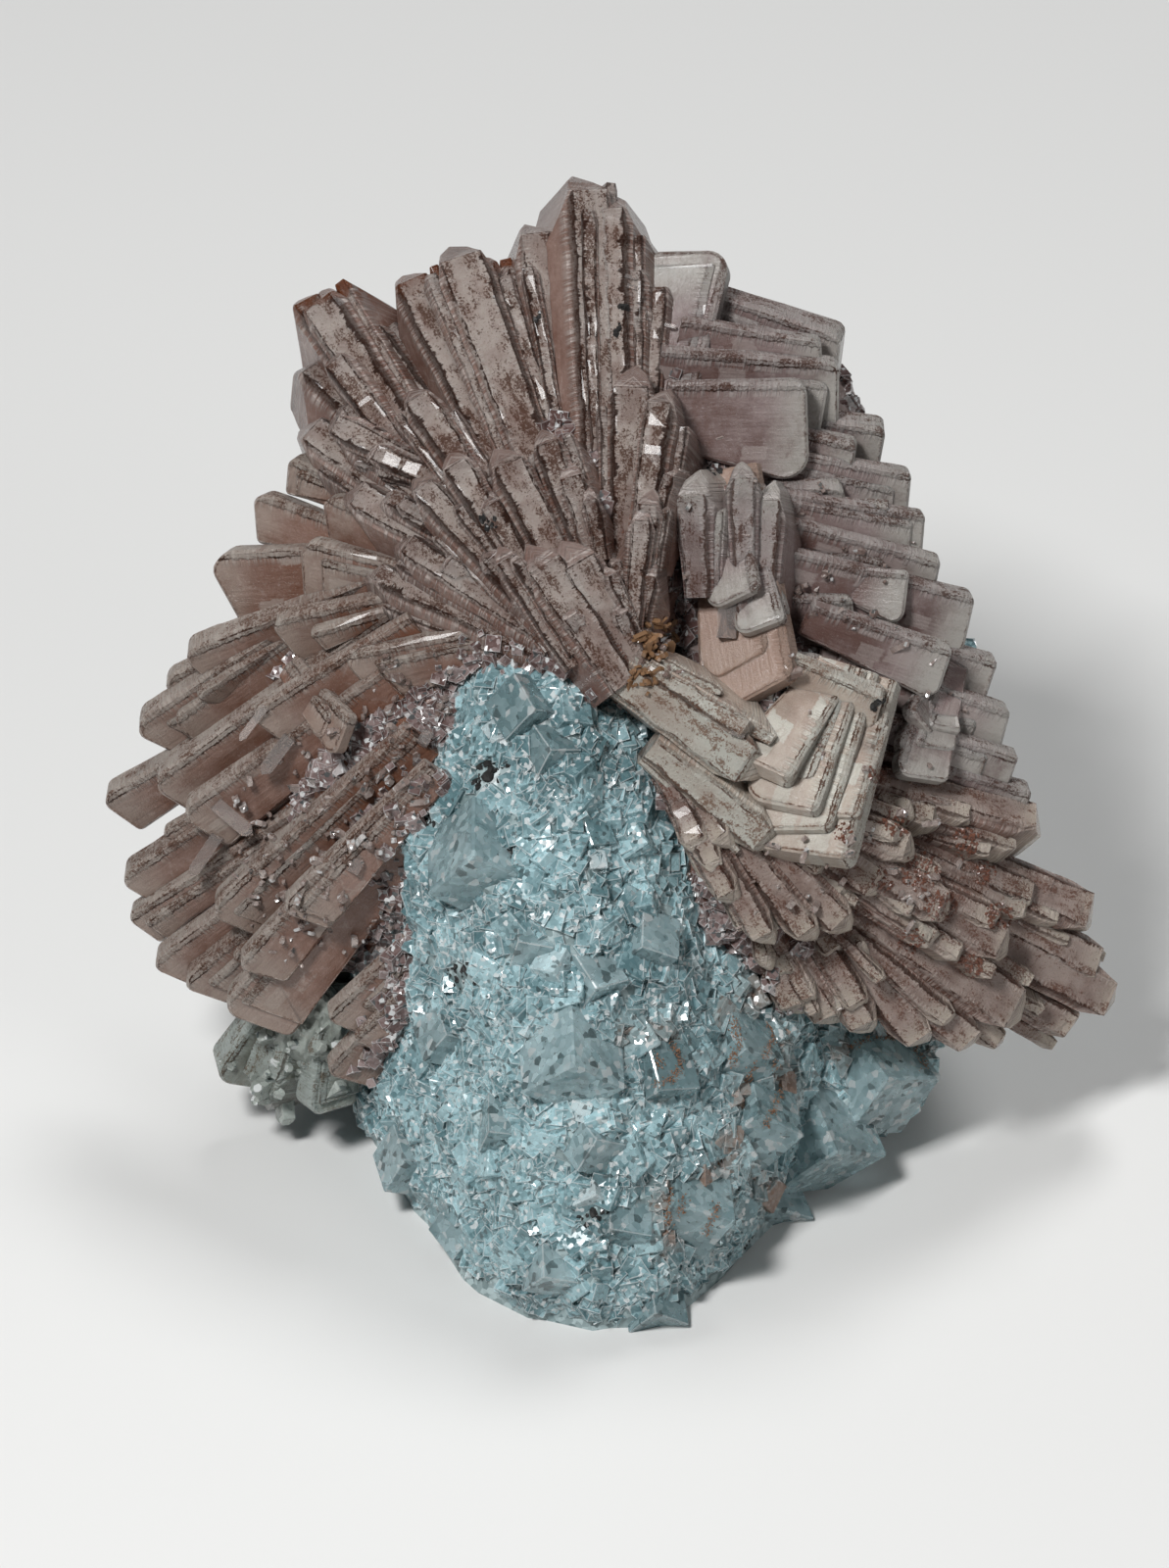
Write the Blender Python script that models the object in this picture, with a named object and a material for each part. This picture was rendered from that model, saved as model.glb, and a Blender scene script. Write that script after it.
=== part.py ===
"""Barite sprays on a fluorite druse, a cabinet specimen about 105 mm wide, 84 mm deep and 94 mm tall.

The crystals lie on one domed face that leans back. Their rows are written in that face's own
millimetres: u to the right and v up the face, both from the front toe of the druse, and depth into
the specimen. The world is in metres with +Z up, +Y towards the back and the origin on the flat base.
"""
import math
import random

import bmesh
import bpy
from mathutils import Matrix, Vector
from mathutils.bvhtree import BVHTree

MM = 0.001

# The crystal face, how the specimen stands, and where its rows are seen from
FACE_LEAN = math.radians(35.0)
BASE_SETBACK = 34.0
EYE_DISTANCE = 1000.0
EYE_U = -4.35
EYE_V = 57.0
RIGHT = Vector((1.0, 0.0, 0.0))
UP_FACE = Vector((0.0, math.sin(FACE_LEAN), math.cos(FACE_LEAN)))
INTO_FACE = Vector((0.0, math.cos(FACE_LEAN), -math.sin(FACE_LEAN)))

# Clearance where two pieces meet, wider over the uneven matrix, and the tidying of cut edges
TOUCH_GAP = 0.3
MATRIX_GAP = 0.45
MERGE_DISTANCE = 2e-6
CUT_TOLERANCE = 1e-5

# The dome of the face: its nearest point is the heart that the sprays grow from
HEART_HEIGHT = 64.0
HEART_DEPTH = -10.0
DOME_SIDE = 27.0
DOME_SIDE_REACH = 53.0
DOME_SIDE_POWER = 1.6
DOME_TOP = 16.0
DOME_TOP_REACH = 55.0
DOME_FOOT = 9.0
DOME_FOOT_REACH = 34.0

# How one tabular crystal is shaped
TAIL_TAPER = 0.62
TAIL_SINK = 3.0
ROOF_ANGLE = 47.0
ANGLE_PLAY = 7.0
FRONT_SLOPE_LENGTH = 0.9
FRONT_SLOPE_DEPTH = 0.45
CORNER_ANGLES = (12.0, 46.0)
CORNER_PLACE = 0.3
PLATE_ROLL = 45.0
PLATE_REACH = 0.3

# Crystal rows: tip u, tip v, tail u, tail v, width, thickness, roll in degrees, height over the dome
TOP_FAN = [
    (-5.8, 119.3, -3.5, 75, 13, 4.8, 18, 2.0),
    (-0.8, 117.2, 0, 81, 11, 4.2, -14, 0.0),
    (-10.6, 114.3, -4, 77, 11, 4.0, 12, -1.0),
    (-12.8, 110.0, -6, 81, 9, 2.6, 20, -2.5),
    (-14.9, 111.0, -8, 85, 8, 3.0, 0, -4.0),
    (-18.3, 112.0, -5.5, 78, 12, 5.2, 8, 2.0),
    (-23.1, 109.0, -11, 85, 11, 4.2, 8, 1.0),
    (-21.0, 107.6, -12, 87, 9, 3.0, 0, -1.0),
    (-31.2, 107.6, -16, 84, 10, 4.5, -14, 2.0),
    (-33.8, 106.4, -19, 84, 9, 3.4, 12, 1.0),
    (-34.2, 99.0, -20, 86, 8, 3.6, 30, -1.0),
    (-33.7, 93.0, -17, 81, 9, 4.0, 16, 1.0),
    (-30.5, 94.0, -16, 87, 8, 3.0, 0, 2.0),
    (-29.0, 86.5, -12, 77, 9, 3.8, 12, 2.5),
    (-22.0, 88.2, -7.5, 72, 8, 3.2, 6, 3.5),
    (-24.0, 81.3, -8, 71, 8, 3.0, 16, 2.5),
    (-27.0, 77.8, -8, 69, 8, 2.8, 22, 1.5),
    (-22.5, 97.2, -10, 79, 9, 3.4, 6, 2.5),
    (-18.3, 91.0, -8, 74, 8, 3.2, 0, 3.5),
    (-13.7, 91.4, -5, 75, 9, 4.2, 8, 4.0),
    (-8.8, 93.4, -1, 72, 8, 3.0, 0, 2.5),
    (-10.5, 81.6, -0.5, 67, 8, 4.6, 6, 5.0),
    (-13.3, 81.4, -5.5, 69, 7, 2.6, 0, 4.0),
    (-7.0, 82.0, 2, 67, 8, 4.4, 10, 4.0),
    (4.6, 97.6, 1, 75, 10, 3.2, -12, 3.0),
    (1.0, 100.0, 0, 77, 9, 4.5, -6, 1.0),
    (2.8, 87.4, 1, 72, 8, 2.6, -6, 3.5),
    (-26.4, 103.6, -15, 88, 9, 3.0, 0, -2.5),
    (1.6, 110.5, 1, 88, 9, 3.0, -16, -2.0),
]

LEFT_FAN = [
    (-47.2, 55.2, -24, 73, 8.0, 4.0, 62, 2.0),
    (-49.3, 61.0, -28, 76, 8.0, 4.0, 60, 0.5),
    (-46.8, 66.0, -27, 77, 6.0, 3.0, 58, -1.0),
    (-44.8, 69.0, -26, 77, 7.0, 4.0, 52, 1.5),
    (-42.2, 76.8, -26, 79, 9.2, 4.0, 76, -1.5),
    (-38.4, 85.0, -25, 81, 5.6, 3.6, 70, -2.0),
    (-34.8, 89.4, -24, 85, 4.4, 3.2, 60, -1.0),
    (-28.5, 68.2, -12, 72, 7.0, 3.4, 60, 1.0),
    (-44.4, 52.4, -25, 67, 7.0, 3.5, 62, 2.8),
    (-52.9, 54.2, -32, 67, 6.0, 4.0, 60, -0.5),
    (-50.8, 45.8, -29, 61, 7.0, 4.0, 60, 1.2),
    (-41.0, 42.2, -22, 61, 8.0, 4.0, 65, 3.2),
    (-50.3, 42.4, -30, 56, 5.0, 3.5, 62, 0.0),
    (-47.6, 37.4, -29, 52, 6.0, 3.5, 62, 1.0),
    (-38.5, 37.2, -24, 54, 6.0, 3.0, 66, 4.2),
    (-39.2, 32.2, -24, 50, 8.5, 3.6, 70, 2.0),
    (-44.4, 35.4, -28, 50, 6.0, 3.4, 62, 0.5),
    (-34.0, 43.0, -20, 58, 6.0, 3.0, 66, 4.6),
    (-28.8, 62.0, -35, 70, 5.0, 2.6, -60, 3.0),
    (-29.6, 32.0, -20, 42, 6.0, 3.0, 60, 0.5),
    (-29.6, 26.6, -20, 38, 6.0, 3.0, 60, -1.0),
    (-37.5, 62.5, -22, 73, 6.0, 3.0, 64, 3.2),
    (-33.6, 79.6, -20, 77, 7.0, 3.4, 66, 0.6),
    (-31.4, 85.0, -18, 80, 6.0, 3.2, 58, 0.0),
    (-36.0, 72.0, -21, 76, 6.0, 3.2, 60, 1.6),
]

RIGHT_PLATES = [
    (7.0, 111.8, 4, 94, 8.5, 4.0, 78, -2.0),
    (22.6, 99.0, 3, 107.0, 10.5, 6.0, -62, -2.5),
    (19.2, 93.2, 4, 95, 11.0, 4.0, -75, 1.0),
    (26.6, 90.4, 12, 94, 9.0, 5.0, -60, -2.5),
    (29.4, 86.2, 14, 90, 6.4, 3.5, -70, -1.0),
    (30.8, 82.4, 14, 86, 5.4, 3.0, -70, 0.0),
    (32.2, 77.8, 16, 83, 5.4, 3.2, -66, 0.5),
    (35.6, 73.0, 17, 79, 7.6, 3.6, -70, 1.5),
    (33.0, 68.4, 19, 74, 6.2, 3.6, -68, 3.0),
    (37.6, 67.2, 22, 73, 6.2, 3.6, -70, -0.5),
    (39.3, 62.0, 22, 69, 6.2, 3.6, -68, 0.5),
    (39.9, 58.0, 23, 64, 5.4, 3.2, -64, 1.0),
    (41.6, 54.2, 25, 60, 6.2, 3.6, -60, 0.5),
    (29.5, 57.4, 33, 70, 6.4, 3.0, 68, 2.0),
    (13.2, 65.0, 10.5, 90, 11.0, 4.2, -66, 2.0),
    (15.2, 88.2, 14, 71, 7.0, 3.2, -12, 3.0),
    (11.8, 90.2, 12, 73, 8.0, 2.8, 0, 3.5),
    (7.6, 89.4, 8, 76, 8.0, 4.0, -20, 3.0),
]

CREAM_BLOCK = [
    (15.4, 57.8, -1, 68.5, 9.0, 5.4, 10, 5.0),
    (13.4, 61.8, 2, 69, 8.0, 2.2, 0, 4.6),
    (16.2, 50.8, 3, 61, 8.0, 4.0, 16, 4.0),
    (17.6, 49.4, 25, 69, 12.0, 6.0, -70, 6.5),
    (14.0, 58.6, 22, 69.5, 7.0, 4.0, -72, 5.0),
    (26.4, 64.2, 17, 69, 5.4, 4.0, -60, 5.4),
]

LOWER_RIGHT_SPRAY = [
    (42.3, 51.4, 20, 58, 8.0, 4.0, -34, 2.0),
    (47.4, 42.4, 22, 54, 9.0, 4.6, -20, 1.0),
    (48.0, 37.6, 22, 51, 9.0, 4.0, -15, 0.5),
    (49.8, 34.8, 22, 48, 9.0, 4.6, 0, 1.0),
    (46.0, 32.8, 21, 46, 8.0, 3.6, 12, -1.0),
    (40.2, 32.8, 18, 48, 9.0, 5.6, -10, 3.0),
    (36.0, 30.8, 17, 47, 8.0, 4.0, 12, 2.0),
    (38.4, 30.6, 20, 44, 6.0, 2.8, 0, 0.0),
    (38.8, 39.4, 18, 52, 8.0, 4.6, -15, 4.0),
    (33.0, 43.4, 15, 54, 7.0, 4.0, -10, 4.6),
    (29.5, 49.4, 14, 56, 7.0, 3.6, -15, 4.4),
    (26.5, 46.0, 10, 57, 7.0, 4.0, 0, 3.4),
    (23.0, 42.0, 9, 56, 7.0, 3.6, 6, 3.2),
    (19.5, 41.0, 7, 57, 7.0, 3.2, 6, 3.2),
    (15.2, 40.6, 5, 58, 7.0, 3.0, 12, 3.0),
    (11.6, 44.6, 4, 58, 6.0, 2.8, 16, 2.6),
    (22.0, 32.6, 14, 45, 7.0, 3.6, 22, -1.0),
    (25.2, 31.6, 17, 46, 7.0, 3.6, 12, 0.0),
    (31.0, 30.8, 18, 46, 8.0, 4.0, 12, 1.0),
    (18.2, 33.4, 12, 47, 6.0, 3.2, 22, -1.5),
]

WHITE_BLOCKS = [
    (-40.6, 26.2, -33, 38, 8.0, 6.0, 60, -4.0),
    (-36.6, 23.6, -32, 38, 7.0, 6.0, 42, -2.4),
    (-31.4, 23.2, -30, 36, 6.0, 5.0, 58, -3.4),
]

# Cores that hold the tails of each spray: middle u, v, height over the dome, half sizes along u, v, depth
TOP_CORE = (-9.0, 82.0, -7.0, 17.0, 17.0, 7.0)
LEFT_CORE = (-28.0, 58.0, -7.0, 13.0, 20.0, 6.0)
RIGHT_CORE = (14.5, 82.5, -7.0, 12.0, 21.0, 6.0)
CREAM_CORE = (13.0, 61.0, -4.0, 10.0, 8.0, 5.0)
LOWER_CORE = (19.0, 47.0, -6.0, 13.0, 10.0, 6.0)
WHITE_CORE = (-33.0, 32.0, -8.0, 4.5, 6.0, 4.0)

# Rings of the two lumps of matrix: height, middle x, half width, then front, widest and back y from the toe
TONGUE_RINGS = [
    (-2.0, -3.5, 25.0, 1.5, 42.0, 60.0),
    (6.0, -3.5, 26.8, 0.8, 42.0, 60.0),
    (14.0, -2.8, 27.4, 3.5, 42.0, 60.0),
    (22.0, -3.0, 25.0, 7.0, 42.0, 60.0),
    (32.0, -6.0, 20.0, 12.5, 38.0, 60.0),
    (42.0, -8.0, 17.0, 18.0, 38.0, 60.0),
    (52.0, -8.0, 13.0, 26.5, 42.0, 60.0),
    (58.5, -7.5, 8.0, 33.5, 46.0, 58.0),
]
BACK_RINGS = [
    (-2.0, 3.0, 29.0, 20.0, 48.0, 68.0),
    (8.0, 5.0, 33.0, 18.0, 46.0, 72.0),
    (20.0, 2.0, 37.0, 28.0, 47.0, 75.0),
    (34.0, 2.0, 37.0, 31.0, 54.0, 78.0),
    (46.0, 2.0, 33.0, 36.0, 58.0, 80.0),
    (56.0, 2.0, 28.0, 41.0, 62.0, 80.0),
    (66.0, 3.0, 23.0, 50.0, 66.0, 80.0),
    (75.0, 4.0, 17.0, 59.0, 72.0, 80.0),
    (82.0, 3.0, 8.0, 69.0, 75.0, 80.0),
]
GROUND_SIZE = 200.0
RING_SIDES = 18
NARROWING = 0.25
ROCK_PLAY = 0.9

# Flat breaks of the matrix behind: azimuth from +X, elevation, distance from the middle of the back lump
BREAK_MIDDLE = (2.0, 56.0, 36.0)
BREAKS = [
    (84.0, 14.0, 22.5),
    (108.0, -12.0, 21.5),
    (60.0, -16.0, 23.0),
    (46.0, 18.0, 27.5),
    (134.0, 10.0, 26.0),
    (30.0, -8.0, 30.5),
    (152.0, -16.0, 29.5),
    (100.0, 40.0, 30.5),
    (78.0, -42.0, 31.0),
    (128.0, -46.0, 33.0),
    (12.0, -28.0, 34.0),
    (172.0, 10.0, 33.0),
]

# Large fluorite cubes that stand out of the druse: u, v, edge, three turns in degrees
LARGE_CUBES = [
    (-15.0, 49.5, 8.5, 20, 35, 12),
    (-10.0, 40.5, 4.0, 8, 14, 2),
    (-5.5, 29.0, 9.0, 32, 40, 25),
    (8.0, 14.5, 8.5, 15, 28, 12),
    (26.0, 27.0, 9.5, 18, 24, 40),
    (20.0, 20.0, 10.0, 35, 30, 44),
    (28.0, 22.5, 7.0, 10, 38, 30),
    (-11.0, 65.0, 5.0, 24, 30, 40),
    (-8.0, 60.5, 4.6, 12, 20, 32),
    (-24.0, 54.0, 4.0, 30, 24, 10),
    (-23.0, 18.5, 6.0, 14, 22, 20),
    (4.0, 27.5, 6.0, 40, 20, 34),
    (12.0, 30.0, 6.5, 20, 36, 30),
    (0.0, 12.0, 5.0, 28, 18, 8),
    (-8.0, 7.5, 5.0, 34, 24, 18),
    (-17.0, 11.5, 5.5, 12, 30, 38),
    (3.0, 3.0, 4.5, 22, 34, 20),
    (-3.0, 37.0, 4.5, 26, 12, 40),
    (-19.0, 31.0, 5.0, 18, 28, 24),
    (3.0, 41.0, 5.0, 30, 30, 14),
    (-27.0, 22.5, 5.5, 36, 22, 30),
    (15.5, 13.5, 5.5, 16, 32, 26),
]
SMALL_CUBE_COUNT = 74
SMALL_CUBE_EDGES = (2.6, 4.6)
CUBE_BURIED = 0.18

# Where the druse is bare between the sprays: ranges of u and v, and a strip that narrows up the face
BARE_U = (-30.0, 30.0)
BARE_V = (1.0, 66.0)
BARE_TOP_WIDTH = 9.0
BARE_FOOT_WIDTH = 22.0
BARE_NARROWING = 0.9
BARE_MIDDLE = -8.0
BARE_BEND_V = 40.0

# Cubes around the sides and back: how many, their edges, and the heights and angles that they spread over
BACK_CUBE_COUNT = 16
BACK_CUBE_EDGES = (4.0, 8.0)
BACK_CUBE_HEIGHTS = (6.0, 66.0)
BACK_CUBE_ARC = (-70.0, 250.0)
BACK_CUBE_CENTRE_Y = 18.0
OUTSIDE = 80.0

# Pale beige barite, creamy and white barite, and pale blue-grey fluorite
PINK_BARITE = ((0.64, 0.50, 0.44, 1.0), 0.35)
CREAM_BARITE = ((0.74, 0.66, 0.56, 1.0), 0.38)
WHITE_BARITE = ((0.80, 0.78, 0.70, 1.0), 0.40)
PALE_FLUORITE = ((0.62, 0.71, 0.72, 1.0), 0.15)


def face_point(u, v, depth):
    """Where an eye a metre away sees u and v at a depth, in millimetres of the world."""
    spread = 1.0 + depth / EYE_DISTANCE
    seen_u = EYE_U + (u - EYE_U) * spread
    seen_v = EYE_V + (v - EYE_V) * spread
    point = RIGHT * seen_u + UP_FACE * seen_v + INTO_FACE * depth
    point.y -= BASE_SETBACK
    return point


def dome_depth(u, v):
    """How far the domed face lies behind the toe of the druse."""
    side = DOME_SIDE * (abs(u) / DOME_SIDE_REACH) ** DOME_SIDE_POWER
    if v > HEART_HEIGHT:
        rise = DOME_TOP * ((v - HEART_HEIGHT) / DOME_TOP_REACH) ** 2
    else:
        rise = DOME_FOOT * ((HEART_HEIGHT - v) / DOME_FOOT_REACH) ** 2
    return HEART_DEPTH + side + rise


def new_object(name, bm):
    """An object made from a bmesh that is in millimetres."""
    bmesh.ops.scale(bm, vec=(MM, MM, MM), verts=bm.verts)
    mesh = bpy.data.meshes.new(name)
    bm.to_mesh(mesh)
    bm.free()
    obj = bpy.data.objects.new(name, mesh)
    bpy.context.scene.collection.objects.link(obj)
    return obj


def slice_off(bm, point, normal):
    """Cut away what lies past a plane of a closed convex solid, and close it with a flat face."""
    parts = bm.verts[:] + bm.edges[:] + bm.faces[:]
    cut = bmesh.ops.bisect_plane(
        bm, geom=parts, dist=CUT_TOLERANCE, plane_co=point, plane_no=normal, clear_outer=True
    )
    rim = [item for item in cut["geom_cut"] if isinstance(item, bmesh.types.BMEdge)]
    if rim:
        bmesh.ops.contextual_create(bm, geom=rim)


def roof_planes(length, width, thickness, play):
    """The end of a crystal seen on its thin edge: two roof faces and a slope at the front."""
    angle = math.radians(ROOF_ANGLE + play)
    top = Vector((length, 0.0, 0.0))
    for side in (1.0, -1.0):
        yield top, Vector((math.cos(angle), side * math.sin(angle), 0.0))
    front = Vector((length - FRONT_SLOPE_LENGTH * thickness, 0.0, -width / 2.0))
    yield front, Vector((FRONT_SLOPE_DEPTH * width, 0.0, -FRONT_SLOPE_LENGTH * thickness)).normalized()


def corner_planes(length, width, roll, play):
    """The end of a crystal seen on its broad face: a blunt corner near one long edge."""
    side = 1.0 if roll > 0.0 else -1.0
    corner = Vector((length, 0.0, -side * CORNER_PLACE * width))
    steep, blunt = (math.radians(angle + play) for angle in CORNER_ANGLES)
    yield corner, Vector((math.cos(steep), 0.0, side * math.sin(steep)))
    yield corner, Vector((math.cos(blunt), 0.0, side * -math.sin(blunt)))


def crystal(row, play, grow):
    """One tabular crystal as a closed bmesh, grown outwards by the given millimetres."""
    tip_u, tip_v, tail_u, tail_v, width, thickness, roll, proud = row
    tip = face_point(tip_u, tip_v, dome_depth(tip_u, tip_v) - proud)
    tail = face_point(tail_u, tail_v, dome_depth(tail_u, tail_v) - proud + TAIL_SINK)
    along = (tip - tail).normalized()
    inward = (INTO_FACE - along * INTO_FACE.dot(along)).normalized()
    sideways = inward.cross(along)
    turn = math.radians(roll)
    thick_axis = sideways * math.cos(turn) + inward * math.sin(turn)
    wide_axis = inward * math.cos(turn) - sideways * math.sin(turn)
    half_depth = (width * abs(math.cos(turn)) + thickness * abs(math.sin(turn))) / 2.0
    lean = along.dot(INTO_FACE)
    is_plate = abs(roll) > PLATE_ROLL
    reach = PLATE_REACH * half_depth if is_plate else half_depth
    length = (tip - tail).length + reach * lean / math.sqrt(1.0 - lean * lean)

    bm = bmesh.new()
    bmesh.ops.create_cube(bm, size=1.0)
    size = (length + 2.0 * grow, thickness + 2.0 * grow, width + 2.0 * grow)
    bmesh.ops.scale(bm, vec=size, verts=bm.verts)
    bmesh.ops.translate(bm, vec=(length / 2.0, 0.0, 0.0), verts=bm.verts)
    tail_end = [vert for vert in bm.verts if vert.co.x < length / 2.0]
    bmesh.ops.scale(bm, vec=(1.0, TAIL_TAPER, TAIL_TAPER), verts=tail_end)
    if is_plate:
        planes = corner_planes(length, width, roll, play)
    else:
        planes = roof_planes(length, width, thickness, play)
    for point, normal in planes:
        slice_off(bm, point + normal * grow, normal)

    place = Matrix((along, thick_axis, wide_axis)).transposed().to_4x4()
    place.translation = tail + inward * half_depth
    bmesh.ops.transform(bm, matrix=place, verts=bm.verts)
    bmesh.ops.recalc_face_normals(bm, faces=bm.faces)
    return bm


def crystals(name, rows, grow=0.0):
    """Every crystal of a spray in one helper object, as shells that pass through each other."""
    rng = random.Random(len(rows))
    joined = bmesh.new()
    for row in rows:
        one = crystal(row, rng.uniform(-ANGLE_PLAY, ANGLE_PLAY), grow)
        shell = bpy.data.meshes.new("shell")
        one.to_mesh(shell)
        one.free()
        joined.from_mesh(shell)
        bpy.data.meshes.remove(shell)
    return new_object(name, joined)


def core(name, middle, grow=0.0):
    """The intergrown heart of a spray, a flattened ball under the tails of its crystals."""
    u, v, proud, half_u, half_v, half_depth = middle
    bm = bmesh.new()
    bmesh.ops.create_icosphere(bm, subdivisions=2, radius=1.0)
    bmesh.ops.scale(bm, vec=(half_u + grow, half_v + grow, half_depth + grow), verts=bm.verts)
    for vert in bm.verts:
        at_u = u + vert.co.x
        at_v = v + vert.co.y
        vert.co = face_point(at_u, at_v, dome_depth(at_u, at_v) - proud + vert.co.z)
    bmesh.ops.recalc_face_normals(bm, faces=bm.faces)
    return new_object(name, bm)


def combine(obj, other, operation):
    """Join a helper to an object or cut it away, and drop the helper."""
    boolean = obj.modifiers.new(operation.title(), "BOOLEAN")
    boolean.operation = operation
    boolean.solver = "EXACT"
    boolean.use_self = True
    boolean.object = other
    graph = bpy.context.evaluated_depsgraph_get()
    made = bpy.data.meshes.new_from_object(obj.evaluated_get(graph))
    obj.modifiers.clear()
    obj.data = made
    bpy.data.objects.remove(other)


def keep_largest_body(obj):
    """Drop the splinters that a cut has parted from the spray."""
    bm = bmesh.new()
    bm.from_mesh(obj.data)
    bm.verts.ensure_lookup_table()
    unseen = set(bm.verts)
    bodies = []
    while unseen:
        body = set()
        front = [unseen.pop()]
        while front:
            vert = front.pop()
            body.add(vert)
            for edge in vert.link_edges:
                other = edge.other_vert(vert)
                if other in unseen:
                    unseen.remove(other)
                    front.append(other)
        bodies.append(body)
    largest = max(bodies, key=len)
    splinters = [vert for body in bodies if body is not largest for vert in body]
    bmesh.ops.delete(bm, geom=splinters, context="VERTS")
    bmesh.ops.remove_doubles(bm, verts=bm.verts, dist=MERGE_DISTANCE)
    bmesh.ops.dissolve_degenerate(bm, edges=bm.edges, dist=MERGE_DISTANCE)
    bm.to_mesh(obj.data)
    bm.free()


def lump(name, rings, seed, breaks=(), grow=0.0):
    """A lump of matrix lofted through rings, a little uneven as broken rock is."""
    rng = random.Random(seed)
    bm = bmesh.new()
    loops = []
    for height, middle, half_width, front, widest, back in rings:
        made = bmesh.ops.create_circle(bm, segments=RING_SIDES, radius=1.0, cap_ends=False)
        verts = made["verts"]
        for vert in verts:
            forward = -vert.co.y
            half_depth = widest - front if forward > 0.0 else back - widest
            across = vert.co.x * (1.0 - NARROWING * max(forward, 0.0))
            play = 1.0 + rng.uniform(-ROCK_PLAY, ROCK_PLAY) / half_width
            x = middle + across * (half_width * play + grow)
            y = widest - forward * (half_depth * play + grow) - BASE_SETBACK
            vert.co = Vector((x, y, height))
        loops.append(list({edge for vert in verts for edge in vert.link_edges}))
    for lower, upper in zip(loops, loops[1:]):
        bmesh.ops.bridge_loops(bm, edges=lower + upper)
    bmesh.ops.triangulate(bm, faces=bm.faces, quad_method="FIXED")
    for rim in (loops[0], loops[-1]):
        bmesh.ops.contextual_create(bm, geom=rim)
    bmesh.ops.translate(bm, vec=(0.0, 0.0, grow), verts=list({v for edge in loops[-1] for v in edge.verts}))
    for azimuth, elevation, distance in breaks:
        normal = Matrix.Rotation(math.radians(azimuth), 3, "Z") @ Vector(
            (math.cos(math.radians(elevation)), 0.0, math.sin(math.radians(elevation)))
        )
        middle = Vector(BREAK_MIDDLE) - Vector((0.0, BASE_SETBACK, 0.0))
        slice_off(bm, middle + normal * (distance + grow), normal)
    bmesh.ops.recalc_face_normals(bm, faces=bm.faces)
    return new_object(name, bm)


def surface_of(*objects):
    """A search tree of the given meshes, to set crystals on their surface."""
    verts = []
    faces = []
    for obj in objects:
        start = len(verts)
        verts += [vert.co.copy() for vert in obj.data.vertices]
        faces += [[start + index for index in polygon.vertices] for polygon in obj.data.polygons]
    return BVHTree.FromPolygons(verts, faces)


def cube_on(bm, spot, normal, edge, turns, grow):
    """Add one fluorite cube, mostly standing out of the surface at a spot."""
    turn = Matrix.Identity(4)
    for axis, angle in zip("XYZ", turns):
        turn = Matrix.Rotation(math.radians(angle), 4, axis) @ turn
    place = Matrix.Translation(spot / MM - normal * edge * CUBE_BURIED) @ turn
    bmesh.ops.create_cube(bm, size=edge + 2.0 * grow, matrix=place)


def druse(name, surface, grow=0.0):
    """All the fluorite cubes that are large enough to show from a step away."""
    rng = random.Random(7)
    bm = bmesh.new()
    for u, v, edge, *turns in LARGE_CUBES:
        spot, normal, _, _ = surface.ray_cast(face_point(u, v, -OUTSIDE) * MM, INTO_FACE)
        if spot is not None:
            cube_on(bm, spot, normal, edge, turns, grow)
    placed = 0
    while placed < SMALL_CUBE_COUNT:
        u = rng.uniform(*BARE_U)
        v = rng.uniform(*BARE_V)
        edge = rng.uniform(*SMALL_CUBE_EDGES)
        turns = [rng.uniform(0.0, 90.0) for _ in range(3)]
        spot, normal, _, _ = surface.ray_cast(face_point(u, v, -OUTSIDE) * MM, INTO_FACE)
        if spot is None or not on_tongue(u, v):
            continue
        cube_on(bm, spot, normal, edge, turns, grow)
        placed += 1
    for number in range(BACK_CUBE_COUNT):
        first, last = BACK_CUBE_ARC
        angle = math.radians(first + (last - first) * number / BACK_CUBE_COUNT)
        height = rng.uniform(*BACK_CUBE_HEIGHTS)
        edge = rng.uniform(*BACK_CUBE_EDGES)
        turns = [rng.uniform(0.0, 90.0) for _ in range(3)]
        side = Vector((math.cos(angle), abs(math.sin(angle)), 0.0))
        middle = Vector((0.0, BACK_CUBE_CENTRE_Y, height))
        spot, normal, _, _ = surface.ray_cast((middle + side * OUTSIDE) * MM, -side)
        if spot is not None:
            cube_on(bm, spot, normal, edge, turns, grow)
    return new_object(name, bm)


def on_tongue(u, v):
    """Whether a place of the face belongs to the bare druse between the sprays."""
    down = max(0.0, 1.0 - v / BARE_V[1])
    half_width = BARE_TOP_WIDTH + BARE_FOOT_WIDTH * down ** BARE_NARROWING
    middle = BARE_MIDDLE * min(1.0, v / BARE_BEND_V)
    return abs(u - middle) < half_width


def ground_block():
    """Everything below the flat base, to cut the specimen off there."""
    bm = bmesh.new()
    below = Matrix.Translation((0.0, 0.0, -GROUND_SIZE / 2.0))
    bmesh.ops.create_cube(bm, size=GROUND_SIZE, matrix=below)
    return new_object("ground", bm)


def material(name, finish):
    """The plain finish of one mineral."""
    colour, roughness = finish
    made = bpy.data.materials.new(name)
    made.use_nodes = True
    shader = made.node_tree.nodes["Principled BSDF"]
    shader.inputs["Base Color"].default_value = colour
    shader.inputs["Roughness"].default_value = roughness
    shader.inputs["Metallic"].default_value = 0.0
    return made


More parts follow.
